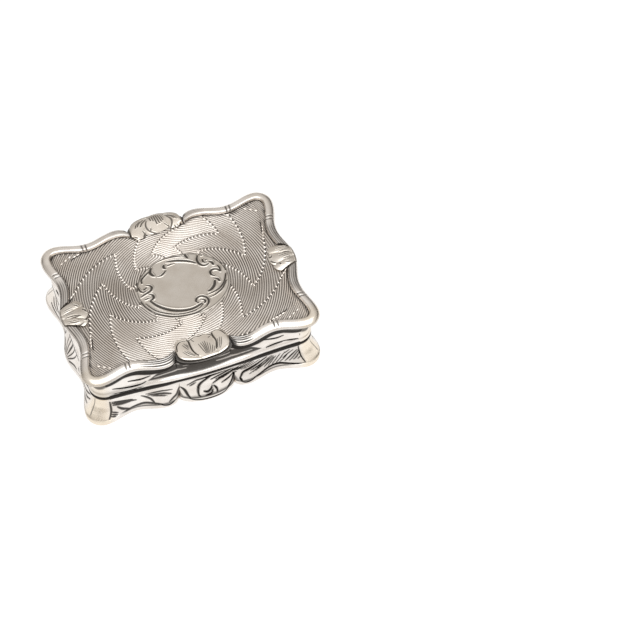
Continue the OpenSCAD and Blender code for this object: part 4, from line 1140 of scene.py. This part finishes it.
bothLong = {'lip': longLip, 'groove': 0.5, 'start': 0.25, 'foot': 0.3, 'dull': 0, 'edge': 1}
bothEnds = {'lip': endLip, 'tip': endTip, 'skew': 0, 'groove': 0.3, 'start': 0.08, 'foot': 0.2, 'shade': 0.3,
            'dull': 0.18, 'edge': 0.55, 'black': 0.8}
frontShell = {**bothLong, 'tip': longTip(longShell['frontTip'], 0), 'skew': 0.12, 'shade': 0, 'black': 0.9,
              'strokes': frontStrokes, 'turn': 0, 'node': 'lid_shell_front'}
backShell = {**bothLong, 'tip': longTip(longShell['backTip'], longShell['backTilt']), 'skew': -0.1,
             'shade': 0.45, 'black': 0.72, 'strokes': backStrokes, 'turn': 180, 'node': 'lid_shell_back'}
leftShell = {**bothEnds, 'strokes': leftStrokes, 'turn': -90, 'node': 'lid_shell_left'}
rightShell = {**bothEnds, 'strokes': rightStrokes, 'turn': 90, 'node': 'lid_shell_right'}
for name, own in (("lidShellFront", frontShell), ("lidShellBack", backShell),
                  ("lidShellLeft", leftShell), ("lidShellRight", rightShell)):
    makeShell(name, own)

# Sponge: a soft rounded block full of pores

spongeLook = {
    'half': (16.3, 11.2), 'low': 0.9, 'height': 3.15, 'corner': 3.4, 'cornerParts': 10, 'edge': 0.9,
    'edgeParts': 5, 'edgeAngle': 40, 'voxel': 0.24, 'pores': ((1.3, 1), (0.7, 0.6)), 'poreShift': (7, 3, 1),
    'poreEdge': 0.52, 'depth': 0.5, 'sag': 0.12, 'sagMm': 4, 'stain': 1.2, 'dark': '#b98d4c',
    'light': '#d9b677', 'poreShade': '#5f431f', 'fibreMm': 0.25, 'fibreDeepMm': 0.08, 'bump': 0.6,
    'roughness': 0.9}


# Dry natural sponge: honey brown and matt, with painted shade in its pores
def spongeMaterial(look):
    material, tree, shader = newMaterial("naturalSponge")
    coord = addNode(tree, 'ShaderNodeTexCoord').outputs['Object']
    poreShade = addNode(tree, 'ShaderNodeAttribute', attribute_name='oxideAndShade').outputs['Fac']
    fibre = addNode(tree, 'ShaderNodeTexNoise', {
        'Vector': coord, 'Scale': 1 / (look['fibreMm'] * mm), 'Detail': 4}).outputs['Fac']
    tone = addNode(tree, 'ShaderNodeMix', {
        0: fibre, 6: srgb(look['dark']), 7: srgb(look['light'])}, data_type='RGBA')
    deep = addNode(tree, 'ShaderNodeMix', {
        0: poreShade, 6: tone.outputs[2], 7: srgb(look['poreShade'])}, data_type='RGBA')
    bump = addNode(tree, 'ShaderNodeBump', {
        'Height': fibre, 'Strength': look['bump'], 'Distance': look['fibreDeepMm'] * mm})
    tree.links.new(deep.outputs[2], shader.inputs['Base Color'])
    tree.links.new(bump.outputs['Normal'], shader.inputs['Normal'])
    shader.inputs['Roughness'].default_value = look['roughness']
    return material


def makeSponge():
    look = spongeLook
    deselectAll()
    bpy.ops.mesh.primitive_cube_add(size=1)
    sponge = bpy.context.object
    nameBoth(sponge, "spongeBlock")
    size = [2 * look['half'][0] * mm, 2 * look['half'][1] * mm, look['height'] * mm]
    middle = Matrix.Translation((0, 0, (look['low'] + look['height'] / 2) * mm))
    sponge.data.transform(middle @ Matrix.Diagonal((*size, 1)))
    for edge in sponge.data.edges:
        ends = [sponge.data.vertices[v].co for v in edge.vertices]
        edge.select = abs(ends[0].z - ends[1].z) > mm
    bpy.ops.object.mode_set(mode='EDIT')
    bpy.ops.mesh.select_mode(type='EDGE')
    bpy.ops.mesh.bevel(offset=look['corner'] * mm, segments=look['cornerParts'])
    bpy.ops.object.mode_set(mode='OBJECT')
    rounded = sponge.modifiers.new("roundedEdges", 'BEVEL')
    rounded.width = look['edge'] * mm
    rounded.segments = look['edgeParts']
    rounded.angle_limit = math.radians(look['edgeAngle'])
    bpy.ops.object.modifier_apply(modifier=rounded.name)
    even = sponge.modifiers.new("evenFaces", 'REMESH')
    even.mode = 'VOXEL'
    even.voxel_size = look['voxel'] * mm
    bpy.ops.object.modifier_apply(modifier=even.name)
    pits = []
    for v in sponge.data.vertices:
        place = v.co / mm
        pit = 0
        for wide, share in look['pores']:
            near = noise.voronoi(place / wide + Vector(look['poreShift']) * share)[0][0]
            pit = max(pit, share * float(soft(max(0, 1 - near / look['poreEdge']))))
        pits.append(pit)
    normals = [v.normal.copy() for v in sponge.data.vertices]
    for v, pit, normal in zip(sponge.data.vertices, pits, normals):
        sag = look['sag'] * (1 + noise.noise(v.co / (look['sagMm'] * mm)))
        v.co -= normal * (look['depth'] * pit + sag) * mm
    # painted shade in the pores, darker where the pits are deeper
    shade = sponge.data.attributes.new('oxideAndShade', 'FLOAT', 'POINT')
    shade.data.foreach_set("value", [min(1, look['stain'] * pit) for pit in pits])
    bpy.ops.object.shade_smooth()
    finishPiece(sponge, 'base', 'sponge', spongeMaterial(look), 'sponge')


makeSponge()

# Plain worked metal: copies of the CAD pieces with their edges eased

easedLook = {'segments': 2, 'sharp': 40, 'flat': 1, 'smooth': 35}


def easedCopy(node, name, body, slot, material, width):
    piece = bpy.data.objects.new(name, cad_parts[node].data.copy())
    bpy.context.scene.collection.objects.link(piece)
    piece.data.name = name
    activate(piece)
    bpy.ops.object.mode_set(mode='EDIT')
    bpy.ops.mesh.select_mode(type='VERT')
    bpy.ops.mesh.select_all(action='SELECT')
    bpy.ops.mesh.remove_doubles(threshold=1e-6)
    bpy.ops.mesh.dissolve_limited(angle_limit=math.radians(easedLook['flat']), delimit={'NORMAL'})
    bpy.ops.object.mode_set(mode='OBJECT')
    bevel = piece.modifiers.new("easedEdges", 'BEVEL')
    bevel.width = width * mm
    bevel.segments = easedLook['segments']
    bevel.limit_method = 'ANGLE'
    bevel.angle_limit = math.radians(easedLook['sharp'])
    bevel.use_clamp_overlap = True
    bpy.ops.object.modifier_apply(modifier=bevel.name)
    bpy.ops.object.shade_smooth_by_angle(angle=math.radians(easedLook['smooth']))
    weigh = piece.modifiers.new("flatFaces", 'WEIGHTED_NORMAL')
    weigh.keep_sharp = True
    bpy.ops.object.modifier_apply(modifier=weigh.name)
    finishPiece(piece, body, slot, material, node)


easedPieces = [
    ('base_bearer', "baseBearer", 'base', 'silver', silver, 0.06),
    ('base_knuckles', "baseKnuckles", 'base', 'silver', silver, 0.05),
    ('lid_hinge_pin', "lidHingePin", 'base', 'silver', silver, 0.05),
    ('lid_bearer', "lidBearer", 'lid', 'silver', silver, 0.06),
    ('lid_knuckles', "lidKnuckles", 'lid', 'silver', silver, 0.05),
    ('bezel', "bezelRim", 'base', 'gilt', gilt, 0.1),
    ('grille_ledge', "grilleLedge", 'base', 'gilt', gilt, 0.08),
    ('grille_bearer', "grilleBearer", 'base', 'gilt', gilt, 0.05),
    ('grille_end_knuckles', "grilleEndKnuckles", 'base', 'gilt', gilt, 0.04),
    ('grille_hinge_pin', "grilleHingePin", 'base', 'gilt', gilt, 0.04),
    ('grille', "grillePlate", 'grille', 'gilt', gilt, 0.05),
    ('grille_knuckle', "grilleKnuckle", 'grille', 'gilt', gilt, 0.04)]
for row in easedPieces:
    easedCopy(*row)

# Stage, light and camera

stageLook = {
    'floorSize': 4, 'floorLevel': -0.00002, 'floorColour': '#a3a3a3', 'glow': 0.72,
    'lifts': (('Y', 0, -1, 0.7), ('Y', 0.7, 0.95, 0.4), ('X', -0.7, -0.9, 0.35)),
    'sky': ((0, '#4a4744'), (0.3, '#6f6b67'), (0.55, '#c4c1bd'), (0.8, '#ebe9e6'), (1, '#f4f2f0'))}
lightLook = {'size': (0.6, 0.4), 'place': (0, -0.16, 0.42), 'aim': (0, -0.05, 0), 'watts': 1.25,
             'colour': '#f7fcff'}
cameraLook = {'azimuth': -19.33, 'elevation': 54.79, 'distance': 400, 'right': 22.91, 'up': -5.77,
              'lens': 138.75, 'sensor': 36, 'nearest': 0.01}


# White paper: a matt sheet with a glow for the camera and for reflections of it, which lights nothing matt
def makeFloor():
    deselectAll()
    bpy.ops.mesh.primitive_plane_add(size=stageLook['floorSize'])
    floor = bpy.context.object
    floor.name = "floor"
    floor.data.transform(Matrix.Translation((0, 0, stageLook['floorLevel'])))
    material = bpy.data.materials.new("whitePaper")
    material.use_nodes = True
    tree = material.node_tree
    tree.nodes.clear()
    path = addNode(tree, 'ShaderNodeLightPath').outputs
    seen = path['Is Camera Ray']
    for ray in ('Is Glossy Ray', 'Is Transmission Ray'):
        seen = addNode(tree, 'ShaderNodeMath', {0: seen, 1: path[ray]}, operation='MAXIMUM').outputs[0]
    level = addNode(tree, 'ShaderNodeMath', {0: seen, 1: stageLook['glow']}, operation='MULTIPLY')
    glow = addNode(tree, 'ShaderNodeEmission', {'Strength': level.outputs[0]})
    paper = addNode(tree, 'ShaderNodeBsdfDiffuse', {'Color': srgb(stageLook['floorColour'])})
    both = addNode(tree, 'ShaderNodeAddShader', {0: paper.outputs[0], 1: glow.outputs[0]})
    addNode(tree, 'ShaderNodeOutputMaterial', {'Surface': both.outputs[0]})
    floor.data.materials.append(material)


def makeSoftbox():
    place, aim = Vector(lightLook['place']), Vector(lightLook['aim'])
    lamp = bpy.data.lights.new("topSoftbox", 'AREA')
    lamp.shape = 'RECTANGLE'
    lamp.size, lamp.size_y = lightLook['size']
    lamp.energy = lightLook['watts']
    lamp.color = srgb(lightLook['colour'])[:3]
    box = bpy.data.objects.new("topSoftbox", lamp)
    bpy.context.scene.collection.objects.link(box)
    box.location = place
    box.rotation_euler = (aim - place).to_track_quat('-Z', 'Y').to_euler()


def makeSky():  # brighter upwards, with a lift in front, behind and to the left
    world = bpy.data.worlds.new("studio")
    world.use_nodes = True
    sky = world.node_tree
    way = addNode(sky, 'ShaderNodeTexCoord').outputs['Generated']
    axes = addNode(sky, 'ShaderNodeSeparateXYZ', {0: way}).outputs
    height = axes['Z']
    for axis, start, end, most in stageLook['lifts']:
        lift = addNode(sky, 'ShaderNodeMapRange', {
            'Value': axes[axis], 'From Min': start, 'From Max': end, 'To Max': most}).outputs['Result']
        height = addNode(sky, 'ShaderNodeMath', {0: height, 1: lift}, operation='ADD').outputs[0]
    tone = addNode(sky, 'ShaderNodeValToRGB', {'Fac': height})
    stops = tone.color_ramp.elements
    while len(stops) < len(stageLook['sky']):
        stops.new(0.5)
    for stop, (place, colour) in zip(stops, stageLook['sky']):
        stop.position = place
        stop.color = srgb(colour)
    sky.links.new(tone.outputs['Color'], sky.nodes['Background'].inputs['Color'])
    bpy.context.scene.world = world


def makeCamera():  # aimed past the middle of the lid, so that the box stands left as in the photo
    look = cameraLook
    azimuth, elevation = math.radians(look['azimuth']), math.radians(look['elevation'])
    right = Vector((math.cos(azimuth), math.sin(azimuth), 0))
    back = Vector((math.sin(azimuth) * math.cos(elevation), -math.cos(azimuth) * math.cos(elevation),
                   math.sin(elevation)))
    upward = back.cross(right)
    spot = (Vector((0, 0, levels['crown'])) + back * look['distance'] + right * look['right']
            + upward * look['up']) * mm
    lens = bpy.data.cameras.new("camera")
    lens.sensor_width = look['sensor']
    lens.lens = look['lens']
    lens.clip_start = look['nearest']
    camera = bpy.data.objects.new("camera", lens)
    bpy.context.scene.collection.objects.link(camera)
    camera.matrix_world = Matrix((
        (right.x, upward.x, back.x, spot.x), (right.y, upward.y, back.y, spot.y),
        (right.z, upward.z, back.z, spot.z), (0, 0, 0, 1)))
    bpy.context.scene.camera = camera


makeFloor()
makeSoftbox()
makeSky()
makeCamera()
bpy.context.scene.view_settings.view_transform = 'Standard'
print("stage, light and camera set")
